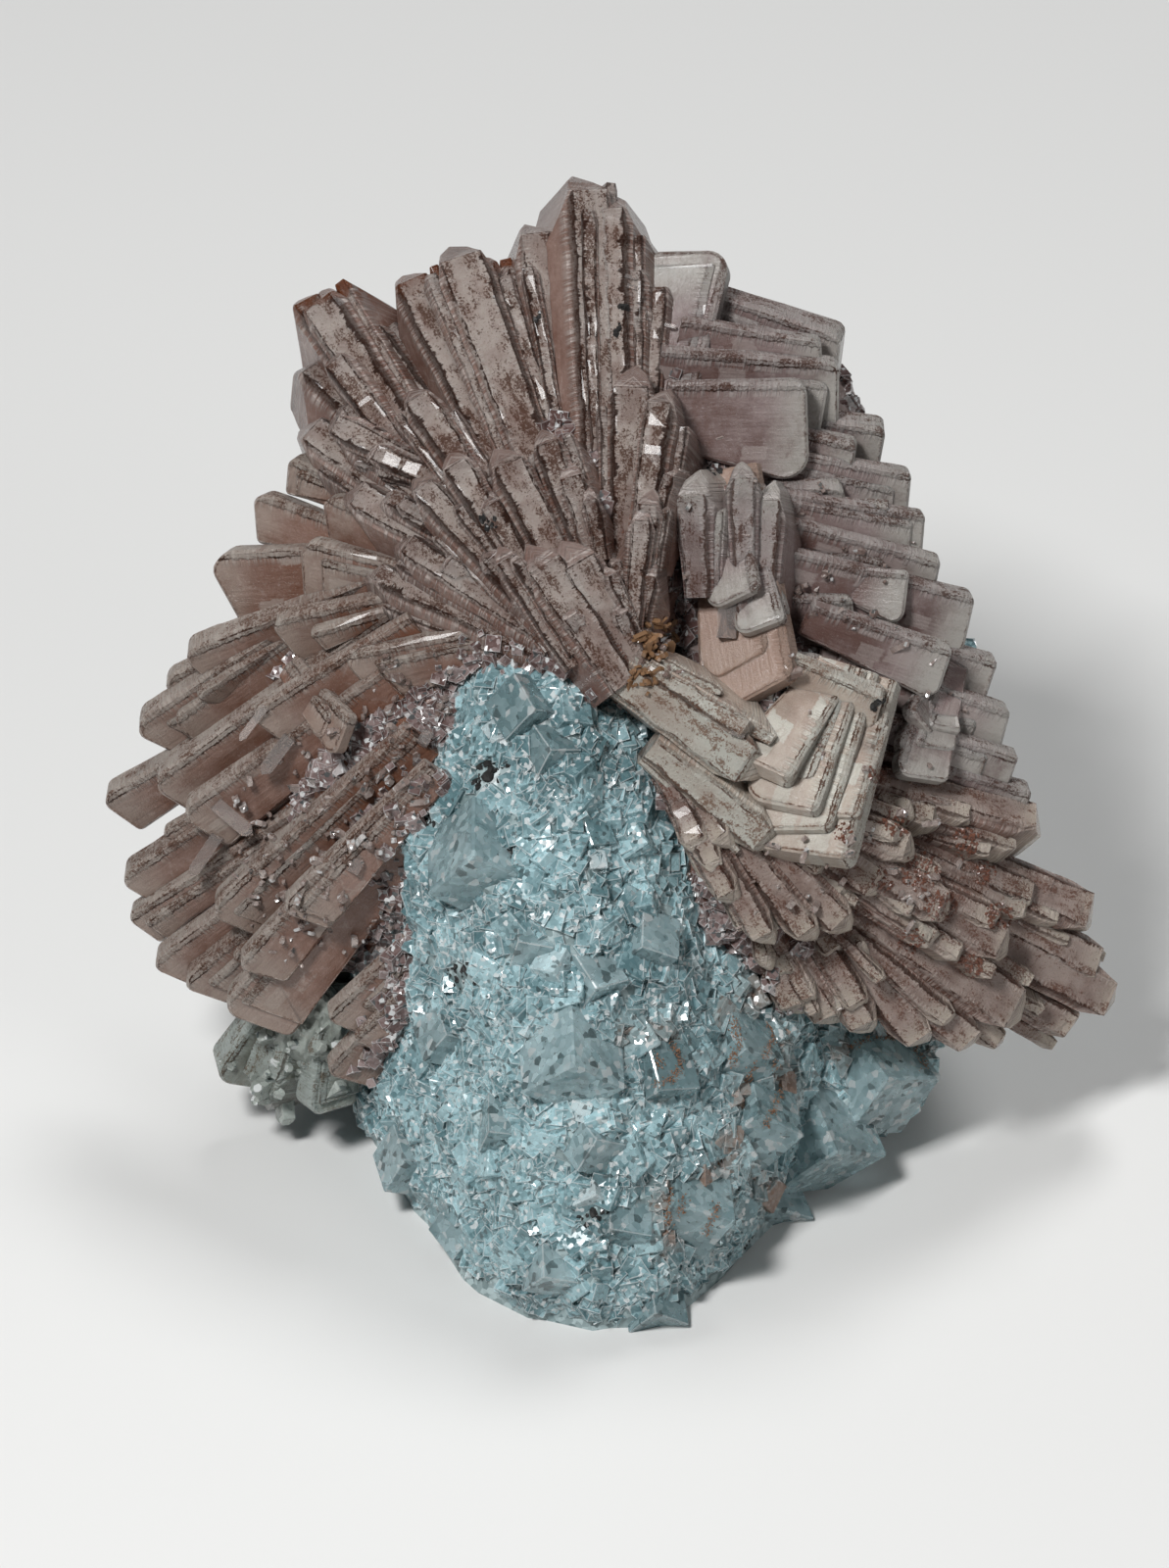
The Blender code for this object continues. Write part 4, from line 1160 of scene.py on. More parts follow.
    # Pale healed cracks
    cracked = node(group, "ShaderNodeTexVoronoi", {"Vector": objects, "Scale": 300.0}, feature="DISTANCE_TO_EDGE")
    crack = ramp(group, maths(group, "ADD", cracked.outputs[0], times(group, wander, 0.12)), 0.05, 0.01)
    send("Veils", times(group, crack, ramp(group, cloud, 0.5, 0.62)))

    long_lines = combined(times(group, from_tip, 0.12), times(group, across, 1.5), times(group, depth, 1.5))
    streaks = noise_of(group, long_lines, 1.6, 3.0)
    height = maths(group, "ADD", times(group, lined, 0.5), times(group, streaks, 0.3))
    height = maths(group, "ADD", height, times(group, grains, 0.25))
    send("Height", maths(group, "ADD", height, times(group, dense, band, 0.8)))
    send("Tip", ramp(group, from_tip, 6.0, 1.0))
    # Painted shade: darker with depth below a blade's front face and towards the tails, where crystals sit in
    # crevices.
    depth_shade = times(group, ramp(group, depth, 1.5, 8.0), ramp(group, plate, 0.0, 1.0, 1.0, 0.45))
    share = maths(group, "DIVIDE", from_tip, length)
    send("Deep", maths(group, "MAXIMUM", depth_shade, ramp(group, share, 0.2, 0.8, 0.0, 0.9)))
    send("Tone", maths(group, "ADD", times(group, tone, 0.45), times(group, streaks, 0.25)))
    send("Stain", stain)
    send("Patches", patches)
    send("Cloud", cloud)
    return group


# Finish colours; the deep colour is painted shade for the depths and tails of a crystal.
Finish = namedtuple(
    "Finish",
    "light dark deep band crust outline tip stripe vein outline_share speck_share tip_share band_width window_share",
)


def barite(name, marks, finish):
    """A waxy translucent barite: clouds, painted shade that darkens and warms it in its depths and towards its tails,
    a speckled band with broken brown outlines, and a painted highlight along unbroken rims.
    """
    made, tree, shader = new_material(name)
    group = node(tree, "ShaderNodeGroup", node_tree=marks)
    group.inputs["Outline Share"].default_value = finish.outline_share
    group.inputs["Speck Share"].default_value = finish.speck_share
    group.inputs["Band Width"].default_value = finish.band_width
    group.inputs["Window Share"].default_value = finish.window_share
    out = group.outputs
    mottled = maths(tree, "ADD", times(tree, out["Cloud"], 2.2), out["Patches"])
    cloudy = ramp(tree, maths(tree, "ADD", out["Tone"], mottled), 1.55, 2.35)
    body = mix(tree, cloudy, finish.dark, finish.light)
    # Painted shade: the body is mixed towards the deep colour in the depths and at the tail, less where the clouds
    # are pale.
    deep = mix(tree, times(tree, out["Deep"], ramp(tree, out["Cloud"], 0.35, 0.6, 1.0, 0.55)), body, finish.deep)
    windows = mix(tree, times(tree, out["Windows"], 0.7), deep, finish.band)
    veiled = mix(tree, times(tree, out["Veils"], 0.3), windows, finish.vein)
    veiled = mix(tree, times(tree, out["Flecks"], 0.35), veiled, finish.stripe)
    tip = times(tree, out["Tip"], ramp(tree, out["Cloud"], 0.25, 0.5), finish.tip_share)
    creamy = mix(tree, ramp(tree, out["Zones"], 1.0, 0.0, 0.0, 0.4), finish.band, finish.stripe)
    # The pale band fades where it is mottled and in the painted shade of the depths.
    kept = times(tree, ramp(tree, mottled, 1.3, 1.8, 0.45, 0.95), ramp(tree, out["Deep"], 0.2, 0.9, 1.0, 0.62))
    banded = mix(tree, times(tree, out["Band"], kept), veiled, creamy)
    pale = mix(tree, tip, banded, finish.tip)
    # Stripes in the pale stripe colour, with the painted highlight along unbroken rims.
    striped_and_lit = mix(tree, times(tree, out["Stripes And Rim Highlight"], 0.6), pale, finish.stripe)
    folded = mix(tree, times(tree, out["Chevrons"], 0.6), striped_and_lit, CHEVRON_GREY)
    crusted = mix(tree, times(tree, out["Specks"], 0.85), folded, finish.crust)
    lined = mix(tree, times(tree, out["Lines"], 0.92), crusted, finish.outline)
    warm = mix(tree, times(tree, ramp(tree, out["Stain"], 1.2, 2.0), 0.8), lined, PEACH)
    rusty = ramp(tree, maths(tree, "ADD", out["Patches"], times(tree, out["Tip"], 0.2)), 0.56, 0.62)
    rust = times(tree, rusty, out["Tip"], ramp(tree, out["Stain"], 0.2, 1.0), ramp(tree, out["Stain"], 1.6, 1.2))
    tree.links.new(mix(tree, rust, warm, RUST_BROWN), shader.inputs["Base Color"])
    dull = maths(tree, "MAXIMUM", times(tree, out["Band"], 0.6), out["Specks"])
    tree.links.new(ramp(tree, dull, 0.0, 0.8, 0.22, 0.5), shader.inputs["Roughness"])
    shader.inputs["Coat Weight"].default_value = 0.15
    shader.inputs["Coat Roughness"].default_value = 0.12
    dark = maths(tree, "MAXIMUM", out["Specks"], out["Lines"])
    tree.links.new(ramp(tree, dark, 0.0, 0.8, 0.5, 0.06), shader.inputs["Specular IOR Level"])
    bump = node(tree, "ShaderNodeBump", {"Height": out["Height"], "Strength": 0.8, "Distance": 0.0004})
    tree.links.new(bump.outputs[0], shader.inputs["Normal"])
    shader.inputs["Subsurface Weight"].default_value = 0.4
    shader.inputs["Subsurface Radius"].default_value = (1.0, 0.9, 0.85)
    shader.inputs["Subsurface Scale"].default_value = 0.0007
    shader.inputs["IOR"].default_value = 1.5
    return made


def cube_marks_group():
    """Where a fluorite cube has a painted highlight along its edges, cells of cleavage that pick painted glints and
    painted shade, veils and specks.
    """
    group, given, wanted = new_group(
        "cube_marks", {"Fleck Size": 900.0, "Edge Width": 0.12},
        ["Edges", "Flecks", "Sparks", "Veil", "Specks", "Tone", "Rust"]
    )
    group.interface.new_socket("Tilt", in_out="OUTPUT", socket_type="NodeSocketVector")
    x, y, z = (maths(group, "ABSOLUTE", value) for value in attribute_of(group, "cube"))
    tone, rust, edge = attribute_of(group, "look")
    middle = maths(
        group, "MAXIMUM", maths(group, "MINIMUM", x, y), maths(group, "MINIMUM", maths(group, "MAXIMUM", x, y), z)
    )
    to_edge = maths(group, "SUBTRACT", times(group, edge, 0.5), middle)
    narrow = maths(group, "DIVIDE", to_edge, given.outputs["Edge Width"])
    # Painted highlight: a mask near each cube edge, for edges that catch the light.
    group.links.new(ramp(group, narrow, 1.0, 0.3), wanted.inputs["Edges"])
    objects = node(group, "ShaderNodeTexCoord").outputs["Object"]
    cells = node(group, "ShaderNodeTexVoronoi", {"Vector": objects, "Scale": given.outputs["Fleck Size"]})
    fleck = node(group, "ShaderNodeSeparateXYZ", {0: cells.outputs["Color"]}).outputs
    group.links.new(fleck[0], wanted.inputs["Flecks"])
    group.links.new(fleck[1], wanted.inputs["Sparks"])
    centred = node(group, "ShaderNodeVectorMath", {0: cells.outputs["Color"], 1: (0.5, 0.5, 0.5)},
                   operation="SUBTRACT")
    group.links.new(centred.outputs[0], wanted.inputs["Tilt"])
    high = node(group, "ShaderNodeSeparateXYZ", {0: objects}).outputs[2]
    # The veil is darker above a height of about 45 mm.
    veil = maths(group, "SUBTRACT", noise_of(group, objects, 160.0, 4.0), ramp(group, high, 0.044, 0.056, 0.0, 0.15))
    group.links.new(veil, wanted.inputs["Veil"])
    group.links.new(ramp(group, noise_of(group, objects, 1700.0, 4.0, 0.75), 0.63, 0.68), wanted.inputs["Specks"])
    group.links.new(tone, wanted.inputs["Tone"])
    group.links.new(rust, wanted.inputs["Rust"])
    return group


# The edge share of a Clear finish is how strongly cube edges are painted white as a highlight.
Clear = namedtuple("Clear", "dark light transmission fleck_size fleck_share edge_width edge_share tilt")


def clear_fluorite(name, marks, finish):
    """Glassy pale cubes: soft clouds, facets, painted edge highlights, painted white glints in a few cells and cubes,
    painted shade in a few dark cells, dark specks and rust.
    """
    made, tree, shader = new_material(name)
    group = node(tree, "ShaderNodeGroup", node_tree=marks)
    group.inputs["Fleck Size"].default_value = finish.fleck_size
    group.inputs["Edge Width"].default_value = finish.edge_width
    out = group.outputs
    shade = maths(tree, "ADD", times(tree, out["Tone"], 0.25), times(tree, out["Flecks"], finish.fleck_share))
    body = mix(tree, ramp(tree, maths(tree, "ADD", shade, out["Veil"]), 0.45, 1.15), finish.dark, finish.light)
    # Painted highlight: cube edges mixed towards white.
    edged = mix(tree, times(tree, out["Edges"], finish.edge_share), body, GLINT_WHITE)
    # Painted glints: a few cells with the highest Sparks and a few whole cubes are mixed towards white, as if they
    # caught the light.
    whole_cube_glint = times(tree, ramp(tree, out["Tone"], 0.98, 0.985), 0.6)
    glint_mask = maths(tree, "MAXIMUM", ramp(tree, out["Sparks"], 0.91, 0.93), whole_cube_glint)
    sparkling = mix(tree, times(tree, glint_mask, 0.75), edged, GLINT_WHITE)
    # Painted shade: cells with the lowest Sparks are darkened, as the dark seen through clear facets.
    shade_cells = mix(tree, times(tree, ramp(tree, out["Sparks"], 0.08, 0.05), 0.75), sparkling, SEEN_THROUGH_SHADE)
    specked = mix(tree, times(tree, out["Specks"], 0.8), shade_cells, SPECK_BLACK)
    stain = times(tree, out["Rust"], ramp(tree, out["Veil"], 0.3, 0.5))
    tree.links.new(mix(tree, times(tree, stain, 0.85), specked, RUST_ORANGE), shader.inputs["Base Color"])
    tree.links.new(ramp(tree, out["Flecks"], 0.2, 0.9, 0.08, 0.3), shader.inputs["Roughness"])
    normal = node(tree, "ShaderNodeNewGeometry").outputs["Normal"]
    scaled = node(tree, "ShaderNodeVectorMath", {0: out["Tilt"], "Scale": finish.tilt}, operation="SCALE")
    tipped = node(tree, "ShaderNodeVectorMath", {0: normal, 1: scaled.outputs[0]}, operation="ADD")
    unit = node(tree, "ShaderNodeVectorMath", {0: tipped.outputs[0]}, operation="NORMALIZE")
    tree.links.new(unit.outputs[0], shader.inputs["Normal"])
    shader.inputs["Transmission Weight"].default_value = finish.transmission
    shader.inputs["IOR"].default_value = 1.434
    shader.inputs["Specular IOR Level"].default_value = 0.8
    return made


def milky_fluorite(marks):
    """The clouded mass that the cubes stand on."""
    made, tree, shader = new_material("milky_fluorite")
    out = node(tree, "ShaderNodeGroup", {"Fleck Size": 1500.0}, node_tree=marks).outputs
    shade = maths(tree, "ADD", out["Veil"], times(tree, out["Flecks"], 0.4))
    body = mix(tree, ramp(tree, shade, 0.4, 1.0), (0.10, 0.15, 0.155, 1.0), (0.42, 0.52, 0.53, 1.0))
    tree.links.new(mix(tree, times(tree, out["Specks"], 0.7), body, SPECK_BLACK), shader.inputs["Base Color"])
    bump = node(tree, "ShaderNodeBump", {"Height": out["Flecks"], "Strength": 0.6, "Distance": 0.0004})
    tree.links.new(bump.outputs[0], shader.inputs["Normal"])
    shader.inputs["Roughness"].default_value = 0.3
    return made


def small_clear(name, colour, transmission, roughness):
    """Small clear or stained crystals that stand on the barite."""
    made, tree, shader = new_material(name)
    objects = node(tree, "ShaderNodeTexCoord").outputs["Object"]
    tone = attribute_of(tree, "look")[0]
    shade = maths(tree, "ADD", times(tree, tone, 0.6), times(tree, noise_of(tree, objects, 800.0), 0.6))
    dark = tuple(value * 0.55 for value in colour[:3]) + (1.0,)
    tree.links.new(mix(tree, shade, dark, colour), shader.inputs["Base Color"])
    shader.inputs["Roughness"].default_value = roughness
    shader.inputs["Transmission Weight"].default_value = transmission
    shader.inputs["IOR"].default_value = 1.5
    return made


def black_grains_and_pit_shade():
    """Black grains, and painted shade for the dark inside of pits."""
    made, tree, shader = new_material("black_grains_and_pit_shade")
    objects = node(tree, "ShaderNodeTexCoord").outputs["Object"]
    body = mix(tree, noise_of(tree, objects, 900.0), (0.006, 0.006, 0.006, 1.0), (0.035, 0.034, 0.033, 1.0))
    tree.links.new(body, shader.inputs["Base Color"])
    shader.inputs["Roughness"].default_value = 0.25
    return made


def plain_floor():
    """A wide pale floor."""
    bm = bmesh.new()
    bmesh.ops.create_grid(bm, x_segments=1, y_segments=1, size=3.0)
    mesh = bpy.data.meshes.new("floor")
    bm.to_mesh(mesh)
    bm.free()
    floor = bpy.data.objects.new("floor", mesh)
    bpy.context.scene.collection.objects.link(floor)
    made, tree, shader = new_material("pale_floor")
    shader.inputs["Base Color"].default_value = (0.70, 0.70, 0.69, 1.0)
    shader.inputs["Roughness"].default_value = 0.6
    mesh.materials.append(made)
    floor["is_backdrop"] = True


def soft_light(name, place, target, size, power, colour=(1.0, 1.0, 1.0)):
    """A square soft box that faces a point."""
    light = bpy.data.lights.new(name, "AREA")
    light.size = size
    light.energy = power
    light.color = colour
    lamp = bpy.data.objects.new(name, light)
    lamp.location = place
    lamp.rotation_euler = (Vector(target) - Vector(place)).to_track_quat("-Z", "Y").to_euler()
    bpy.context.scene.collection.objects.link(lamp)


def studio():
    """The pale surroundings and the soft boxes."""
    world = bpy.data.worlds.new("studio")
    world.use_nodes = True
    background = world.node_tree.nodes["Background"]
    background.inputs["Color"].default_value = (0.88, 0.92, 0.96, 1.0)
    background.inputs["Strength"].default_value = 0.07
    bpy.context.scene.world = world
    middle = (0.0, 0.0, 0.045)
    soft_light("key", (-0.30, -0.42, 0.75), middle, 0.16, 7.4)
    soft_light("fill", (0.55, -0.55, 0.45), middle, 0.3, 0.9)
    soft_light("top", (0.12, 0.35, 0.75), middle, 0.25, 2.6)
    bpy.context.scene.view_settings.view_transform = "Standard"


def photo_camera():
    """A long lens at the photograph's angle, a metre from the crystal face."""
    camera = bpy.data.cameras.new("camera")
    camera.sensor_width = 36.0
    camera.lens = 225.0
    camera.clip_end = 20.0
    eye = bpy.data.objects.new("camera", camera)
    target = face_point(EYE_U, EYE_V, 0.0) * MM
    place = Matrix((RIGHT, UP_FACE, -INTO_FACE)).transposed().to_4x4()
    place.translation = target - INTO_FACE * EYE_DISTANCE * MM
    eye.matrix_world = place
    bpy.context.scene.collection.objects.link(eye)
    bpy.context.scene.camera = eye


# Colours of the minerals
DARK_TEAL = (0.125, 0.235, 0.26, 1.0)
ICE_WHITE = (0.57, 0.83, 0.885, 1.0)
# Painted shade seen through clear fluorite facets.
SEEN_THROUGH_SHADE = (0.07, 0.10, 0.105, 1.0)
CHEVRON_GREY = (0.085, 0.066, 0.06, 1.0)
GLINT_WHITE = (0.97, 1.0, 1.0, 1.0)
SPECK_BLACK = (0.05, 0.05, 0.05, 1.0)
RUST_ORANGE = (0.33, 0.15, 0.075, 1.0)
RUST_BROWN = (0.13, 0.042, 0.018, 1.0)
PEACH = (0.31, 0.205, 0.155, 1.0)

photo_camera()
studio()
plain_floor()

marks = crystal_marks_group()
PINK = barite("pink_barite", marks, Finish(
    light=(0.265, 0.180, 0.152, 1.0), dark=(0.155, 0.083, 0.064, 1.0), deep=(0.140, 0.066, 0.048, 1.0),
    band=(0.36, 0.300, 0.265, 1.0), crust=(0.078, 0.034, 0.022, 1.0), outline=(0.026, 0.009, 0.005, 1.0),
    tip=(0.19, 0.155, 0.145, 1.0), stripe=(0.48, 0.43, 0.40, 1.0), vein=(0.42, 0.36, 0.33, 1.0),
    outline_share=0.8, speck_share=0.6, tip_share=0.5, band_width=1.2, window_share=0.03))
SALMON = barite("salmon_barite", marks, Finish(
    light=(0.245, 0.158, 0.128, 1.0), dark=(0.15, 0.078, 0.056, 1.0), deep=(0.16, 0.062, 0.033, 1.0),
    band=(0.32, 0.268, 0.235, 1.0), crust=(0.11, 0.055, 0.037, 1.0), outline=(0.05, 0.020, 0.012, 1.0),
    tip=(0.29, 0.245, 0.21, 1.0), stripe=(0.45, 0.40, 0.36, 1.0), vein=(0.37, 0.31, 0.28, 1.0),
    outline_share=0.25, speck_share=0.2, tip_share=0.6, band_width=0.9, window_share=0.05))
GREY = barite("grey_barite", marks, Finish(
    light=(0.265, 0.207, 0.20, 1.0), dark=(0.130, 0.084, 0.078, 1.0), deep=(0.125, 0.067, 0.056, 1.0),
    band=(0.30, 0.25, 0.235, 1.0), crust=(0.09, 0.047, 0.036, 1.0), outline=(0.07, 0.034, 0.024, 1.0),
    tip=(0.36, 0.35, 0.32, 1.0), stripe=(0.41, 0.375, 0.36, 1.0), vein=(0.35, 0.31, 0.29, 1.0),
    outline_share=0.15, speck_share=0.3, tip_share=0.8, band_width=0.8, window_share=0.35))
CREAM = barite("cream_barite", marks, Finish(
    light=(0.44, 0.385, 0.325, 1.0), dark=(0.31, 0.24, 0.20, 1.0), deep=(0.32, 0.245, 0.20, 1.0),
    band=(0.49, 0.49, 0.44, 1.0), crust=(0.19, 0.11, 0.075, 1.0), outline=(0.10, 0.05, 0.033, 1.0),
    tip=(0.43, 0.39, 0.34, 1.0), stripe=(0.55, 0.54, 0.49, 1.0), vein=(0.14, 0.07, 0.045, 1.0),
    outline_share=0.45, speck_share=0.2, tip_share=0.4, band_width=0.6, window_share=0.5))
BROWN = barite("brown_barite", marks, Finish(
    light=(0.26, 0.168, 0.140, 1.0), dark=(0.12, 0.060, 0.045, 1.0), deep=(0.08, 0.030, 0.020, 1.0),
    band=(0.29, 0.215, 0.185, 1.0), crust=(0.15, 0.075, 0.055, 1.0), outline=(0.045, 0.017, 0.011, 1.0),
    tip=(0.50, 0.44, 0.37, 1.0), stripe=(0.46, 0.385, 0.345, 1.0), vein=(0.38, 0.31, 0.28, 1.0),
    outline_share=0.35, speck_share=0.15, tip_share=1.0, band_width=1.0, window_share=0.03))
WHITE = barite("white_barite", marks, Finish(
    light=(0.31, 0.34, 0.305, 1.0), dark=(0.14, 0.15, 0.125, 1.0), deep=(0.12, 0.118, 0.095, 1.0),
    band=(0.30, 0.335, 0.31, 1.0), crust=(0.15, 0.115, 0.08, 1.0), outline=(0.09, 0.065, 0.045, 1.0),
    tip=(0.32, 0.355, 0.335, 1.0), stripe=(0.42, 0.47, 0.45, 1.0), vein=(0.16, 0.12, 0.09, 1.0),
    outline_share=0.15, speck_share=0.1, tip_share=0.3, band_width=0.8, window_share=0.3))

RIGHT_SHINGLES = [
    ((8.0, 57.0, 27.0, 98.0), (22.0, 96.0, 0.43), -14.0, (9.0, 5.4), (12.0, 7.5, 3.0), -68.0, -1.6),
    ((3.0, 97.0, 6.0, 103.0), (22.5, 99.0, 0.43), -17.0, (3.0, 3.2), (19.0, 8.0, 4.0), -66.0, -0.8),
]
CREAM_STEPS = [
    (16.6, 51.6, 23.6, 69.4, 9.0, 3.0, -70, 5.7),
    (15.8, 54.6, 22.6, 69.8, 8.4, 3.0, -71, 5.4),
    (21.8, 53.4, 25.8, 63.6, 4.4, 2.6, -69, 7.0),
]
SPRAYS = [
    ("top_fan_blades", "barite_top_fan", "pink_barite", PINK,
     (TOP_FAN, TOP_CORE, (30, 2.6, (0.5, 0.92)), (0.08, 0.42), {4: 1.0, 6: 0.8, 8: 1.0, 9: 1.0}, (), 3.0)),
    ("left_fan_plates", "barite_left_fan", "salmon_barite", SALMON,
     (LEFT_FAN, LEFT_CORE, (10, 2.6, (0.6, 0.9)), (0.1, 0.3), {}, (), 2.5)),
    ("right_shingled_plates", "barite_right_plates", "grey_barite", GREY,
     (RIGHT_PLATES, RIGHT_CORE, (10, 2.6, (0.5, 0.9)), (0.08, 0.36), {14: 2.0}, RIGHT_SHINGLES, 5.0)),
    ("cream_crystals", "barite_cream_block", "cream_barite", CREAM,
     (CREAM_BLOCK, CREAM_CORE, (0, 2.2, (0.4, 0.8)), (0.08, 0.3), {}, CREAM_STEPS, 2.0)),
    ("lower_right_blades", "barite_lower_right_spray", "brown_barite", BROWN,
     (LOWER_RIGHT_SPRAY, LOWER_CORE, (34, 2.6, (0.4, 0.9)), (0.0, 0.22), {}, (), 3.0)),
    ("white_crystals", "white_barite_blocks", "white_barite", WHITE,
     (WHITE_BLOCKS, WHITE_CORE, (3, 2.0, (0.5, 0.9)), (0.05, 0.2), {}, (), 0.5)),
]
all_barite = Heap()
cores = Heap()
for name, solid, slot, finish, made_of in SPRAYS:
    heap = Heap("place", "size", "marks", "look")
    spray(heap, name, *made_of)
    if finish is WHITE:
        white_surface = heap.surface()
    else:
        all_barite.add(np.concatenate(heap.points), heap.faces)
        cores.add(*core_arrays(made_of[1], made_of[-1]))
    piece = heap.piece(name, finish)
    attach(piece, "root")
    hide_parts(solid)
barite_surface = all_barite.surface()
core_surface = cores.surface()

mass = Heap()
mass.add(*rough_lump(TONGUE_RINGS, 3))
mass.add(*rough_lump(BACK_RINGS, 5, BREAKS))
shell_points = np.concatenate(mass.points)
shell_faces = list(mass.faces)
outer = mass.surface()
cube_marks = cube_marks_group()
rock = mass.piece("fluorite_mass", milky_fluorite(cube_marks))
CLEAR = clear_fluorite("clear_fluorite", cube_marks, Clear(
    DARK_TEAL, ICE_WHITE, 0.35, 2300.0, 0.28, 0.11, 0.5, 0.3))
LARGE_CLEAR = clear_fluorite("large_clear_fluorite", cube_marks, Clear(
    (0.24, 0.37, 0.395, 1.0), (0.72, 0.91, 0.95, 1.0), 0.6, 1300.0, 0.3, 0.15, 0.8, 0.2))
FRINGE_CLEAR = clear_fluorite("fringe_clear", cube_marks, Clear(
    (0.13, 0.075, 0.068, 1.0), (0.42, 0.33, 0.32, 1.0), 0.3, 2300.0, 0.3, 0.09, 0.35, 0.35))
rng = random.Random(11)

large_places = []
large_looks = []
for u, v, edge, *turns in LARGE_CUBES:
    seen = seen_at(outer, u, v)
    if seen:
        large_places.append(cube_place(*seen, edge, CUBE_BURIED, turned(turns)))
        large_looks.append((0.9 * rng.random(), 0.0, edge))
heap = Heap("look", "cube")
heap.copies(*cube_shape(0.03), [np.asarray(place) for place in large_places], look=large_looks)
large = heap.piece("large_fluorite_cubes", LARGE_CLEAR)
heap.add(shell_points, shell_faces, look=(0.0, 0.0, 0.0), cube=(0.0, 0.0, 0.0))
druse_surface = heap.surface()
into_large = [place.inverted() for place in large_places]


def in_large(spot):
    """Whether a place lies inside one of the large cubes."""
    return any(max(abs(value) for value in (inverse @ spot)) < 0.52 for inverse in into_large)


def buried(spot, normal):
    """Whether a place of one lump lies inside the other."""
    start = spot + normal * 0.05
    hit, way, _, distance = outer.ray_cast(start, normal)
    return hit is not None and distance < 40.0 and hit.z > 0.1 and way.dot(normal) > 0.0


def front_rule(spot, normal, u, v, edge):
    faces_eye = normal.dot(INTO_FACE) < 0.1
    return faces_eye and spot.z > 0.1 and not in_pit(u, v) and not in_large(spot) and not buried(spot, normal)


def side_rule(spot, normal, u, v, edge):
    faces_eye = normal.dot(INTO_FACE) < 0.1
    return not faces_eye and spot.z > edge * 0.8 and not buried(spot, normal)


def any_rule(spot, normal, u, v, edge):
    return spot.z > edge


cube = cube_shape(0.0)
fine = druse("fine_fluorite_cubes", cube, spots_on(shell_points, shell_faces, FRONT_CUBES, rng),
             FRONT_CUBE_EDGES, CUBE_SINK, rng, CLEAR, front_rule)
medium = druse("medium_fluorite_cubes", cube_shape(0.04), spots_on(shell_points, shell_faces, MIDDLE_CUBES, rng),
               MIDDLE_CUBE_EDGES, 0.3, rng, CLEAR, front_rule)
around = druse("side_fluorite_cubes", cube, spots_on(shell_points, shell_faces, SIDE_CUBES, rng),
               SIDE_CUBE_EDGES, 0.2, rng, CLEAR, side_rule)

# Painted shade for pits: each a ragged near-black lump where the druse is left off, with black grains around it
pits = Heap("look", "cube")
pit_spots = []
for u, v, radius in DARK_PITS:
    seen = seen_at(outer, u, v)
    if not seen:
        continue
    spot, normal = seen
    bm = bmesh.new()
    bmesh.ops.create_icosphere(bm, subdivisions=2, radius=radius * 0.42)
    for vert in bm.verts:
        vert.co *= 1.0 + 0.6 * noise.noise(vert.co * 0.9 + spot)
    bmesh.ops.translate(bm, vec=spot - normal * radius * 0.3, verts=bm.verts)
    points, faces = arrays_of(bm)
    pits.add(points, faces, look=(0.5, 0.0, 1.0), cube=(0.0, 0.0, 0.0))
    pit_spots += list(spots_seen(outer, [(u, v, radius * 1.1, round(26 * radius))], rng))
DARK = black_grains_and_pit_shade()
pit_shade = pits.piece("pit_shade_lumps", DARK)

# Small things that stand on the barite: areas as u, v, radius and count
PERCHED_AREAS = [
    (-31.0, 45.0, 8.0, 60), (-28.0, 57.0, 8.0, 66), (-34.0, 52.0, 8.0, 34), (-20.0, 66.0, 6.0, 30),
    (28.0, 50.0, 7.0, 12), (22.0, 44.0, 9.0, 14), (26.0, 70.0, 12.0, 18), (14.0, 84.0, 10.0, 8),
    (4.0, 68.0, 3.0, 8), (22.0, 77.0, 5.0, 14), (10.0, 47.0, 6.0, 10),
]
RUST_AREAS = [
    (38.0, 43.5, 1.4, 110), (32.0, 44.5, 1.7, 150), (35.0, 38.5, 1.3, 90), (27.5, 53.0, 1.4, 90),
    (30.0, 48.0, 2.0, 120), (26.0, 47.0, 1.2, 50), (34.5, 51.0, 1.6, 90), (25.5, 58.0, 1.0, 50),
    (29.0, 41.0, 1.4, 60), (22.0, 52.0, 1.0, 30), (36.5, 48.0, 1.2, 60), (-26.0, 62.0, 2.0, 50),
]
WHITE_AREAS = [(-39.0, 29.0, 5.0, 14), (-33.0, 26.5, 5.0, 16)]
AMBER_AREAS = [(3.0, 71.5, 2.2, 46), (1.5, 67.5, 1.5, 20)]
DARK_AREAS = [
    (-14.0, 83.5, 0.9, 10), (-9.2, 104.7, 0.5, 4), (-0.4, 105.5, 0.6, 6), (-0.8, 103.5, 0.6, 6),
    (8.8, 89.2, 0.7, 7), (5.7, 73.4, 1.2, 14), (25.7, 65.0, 0.7, 7),
]
TINTED = clear_fluorite("small_clear", cube_marks, Clear(
    (0.28, 0.20, 0.175, 1.0), (0.66, 0.58, 0.54, 1.0), 0.5, 2300.0, 0.3, 0.1, 0.5, 0.25))
FROSTED = clear_fluorite("frosted_white", cube_marks, Clear(
    (0.25, 0.275, 0.25, 1.0), (0.56, 0.61, 0.57, 1.0), 0.35, 1500.0, 0.3, 0.12, 0.5, 0.25))
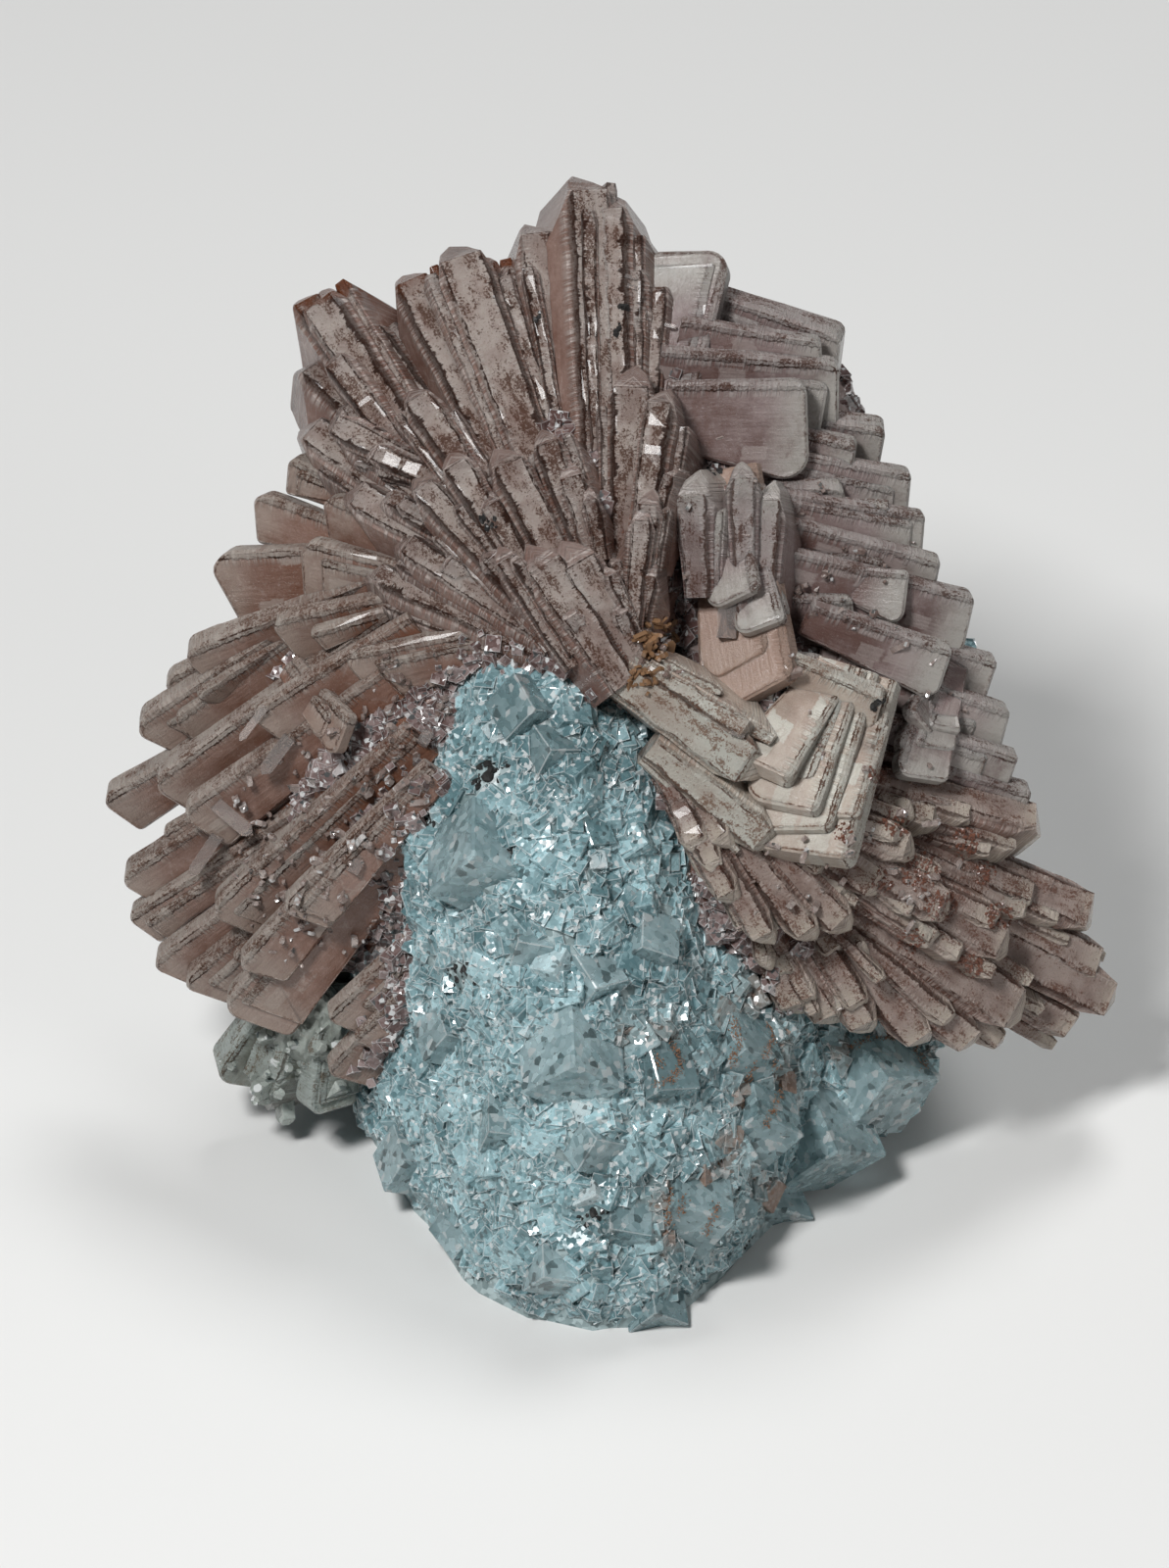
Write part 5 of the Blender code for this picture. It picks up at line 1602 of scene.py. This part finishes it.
PRISM_ROWS = [
    (-42.0, 55.0, -38.2, 51.8, 1.5),
    (-41.8, 51.7, -44.4, 47.7, 1.3),
    (-34.4, 61.8, -37.2, 58.0, 1.4),
    (-37.0, 64.8, -39.4, 61.4, 0.8),
    (10.1, 72.0, 10.4, 77.2, 2.0),
    (-32.0, 57.0, -31.0, 58.4, 1.3),
    (-28.0, 48.0, -27.2, 49.4, 1.2),
    (-21.0, 61.0, -20.2, 62.4, 1.2),
]
GLINTS = [
    (-0.2, 108.9, 1.1, 108.5, 0.4), (0.0, 107.9, 1.2, 107.5, 0.4), (3.8, 103.9, 5.0, 103.6, 0.4),
    (13.2, 87.6, 14.0, 87.3, 0.4), (5.3, 89.1, 6.0, 88.8, 0.3), (10.6, 62.3, 12.0, 61.8, 0.5),
]
prism_heap = Heap("look", "cube")
prism_places = [laid(barite_surface, row) for row in PRISM_ROWS + GLINTS]
prism_places = [np.asarray(place) for place in prism_places if place]
prism_heap.copies(*chisel_shape(), prism_places, look=[(rng.random(), 0.0, 1.0) for _ in prism_places])
prisms = prism_heap.piece("lying_prisms", small_clear("prism_clear", (0.95, 0.87, 0.83, 1.0), 0.85, 0.06))

perched = druse("perched_crystals", chisel_shape(), spots_seen(barite_surface, PERCHED_AREAS, rng), (0.5, 1.5), 0.15,
                rng, TINTED, any_rule, False)
frosted = druse("frosted_crystals", chisel_shape(), spots_seen(white_surface, WHITE_AREAS, rng), (1.0, 3.4), 0.4,
                rng, FROSTED, any_rule, False)
fringe = druse("fringe_cubes", cube, spots_near(barite_surface, outer, 4.0, 26000, rng), (0.5, 1.7), 0.25,
               rng, FRINGE_CLEAR, any_rule, False)
hearts = druse("heart_crystals", cube, spots_near(barite_surface, core_surface, 0.15, 26000, rng), (0.7, 2.0), 0.3,
               rng, FRINGE_CLEAR, any_rule, False)
grains = druse("rusty_grains", grain_shape(), spots_seen(barite_surface, RUST_AREAS, rng), (0.2, 0.6), 0.2,
               rng, small_clear("rusty_crust", (0.17, 0.07, 0.045, 1.0), 0.1, 0.3), any_rule, False)
amber = druse("amber_crystals", chisel_shape(), spots_seen(barite_surface, AMBER_AREAS, rng), (0.5, 1.2), 0.1,
              rng, small_clear("amber_crystal", (0.42, 0.24, 0.13, 1.0), 0.5, 0.15), any_rule, False)
black = druse("black_grains", grain_shape(),
              list(spots_seen(barite_surface, DARK_AREAS, rng)) + pit_spots, (0.4, 1.1), 0.2, rng, DARK, any_rule,
              False)
veins = druse("rust_veins", grain_shape(), spots_along(druse_surface, RUST_LINES, 0.03, 0.24, rng), (0.08, 0.2), -0.8,
              rng, small_clear("rust_vein", (0.36, 0.17, 0.085, 1.0), 0.2, 0.4), any_rule, False)

for piece in (rock, fine, medium, around, large, pit_shade, prisms, perched, frosted, fringe, hearts, grains, amber, black,
              veins):
    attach(piece, "root")
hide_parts("fluorite_matrix")

boxes = {"cad": cad_box, "visual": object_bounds()}
{key: [list(corner) for corner in box] for key, box in boxes.items()}
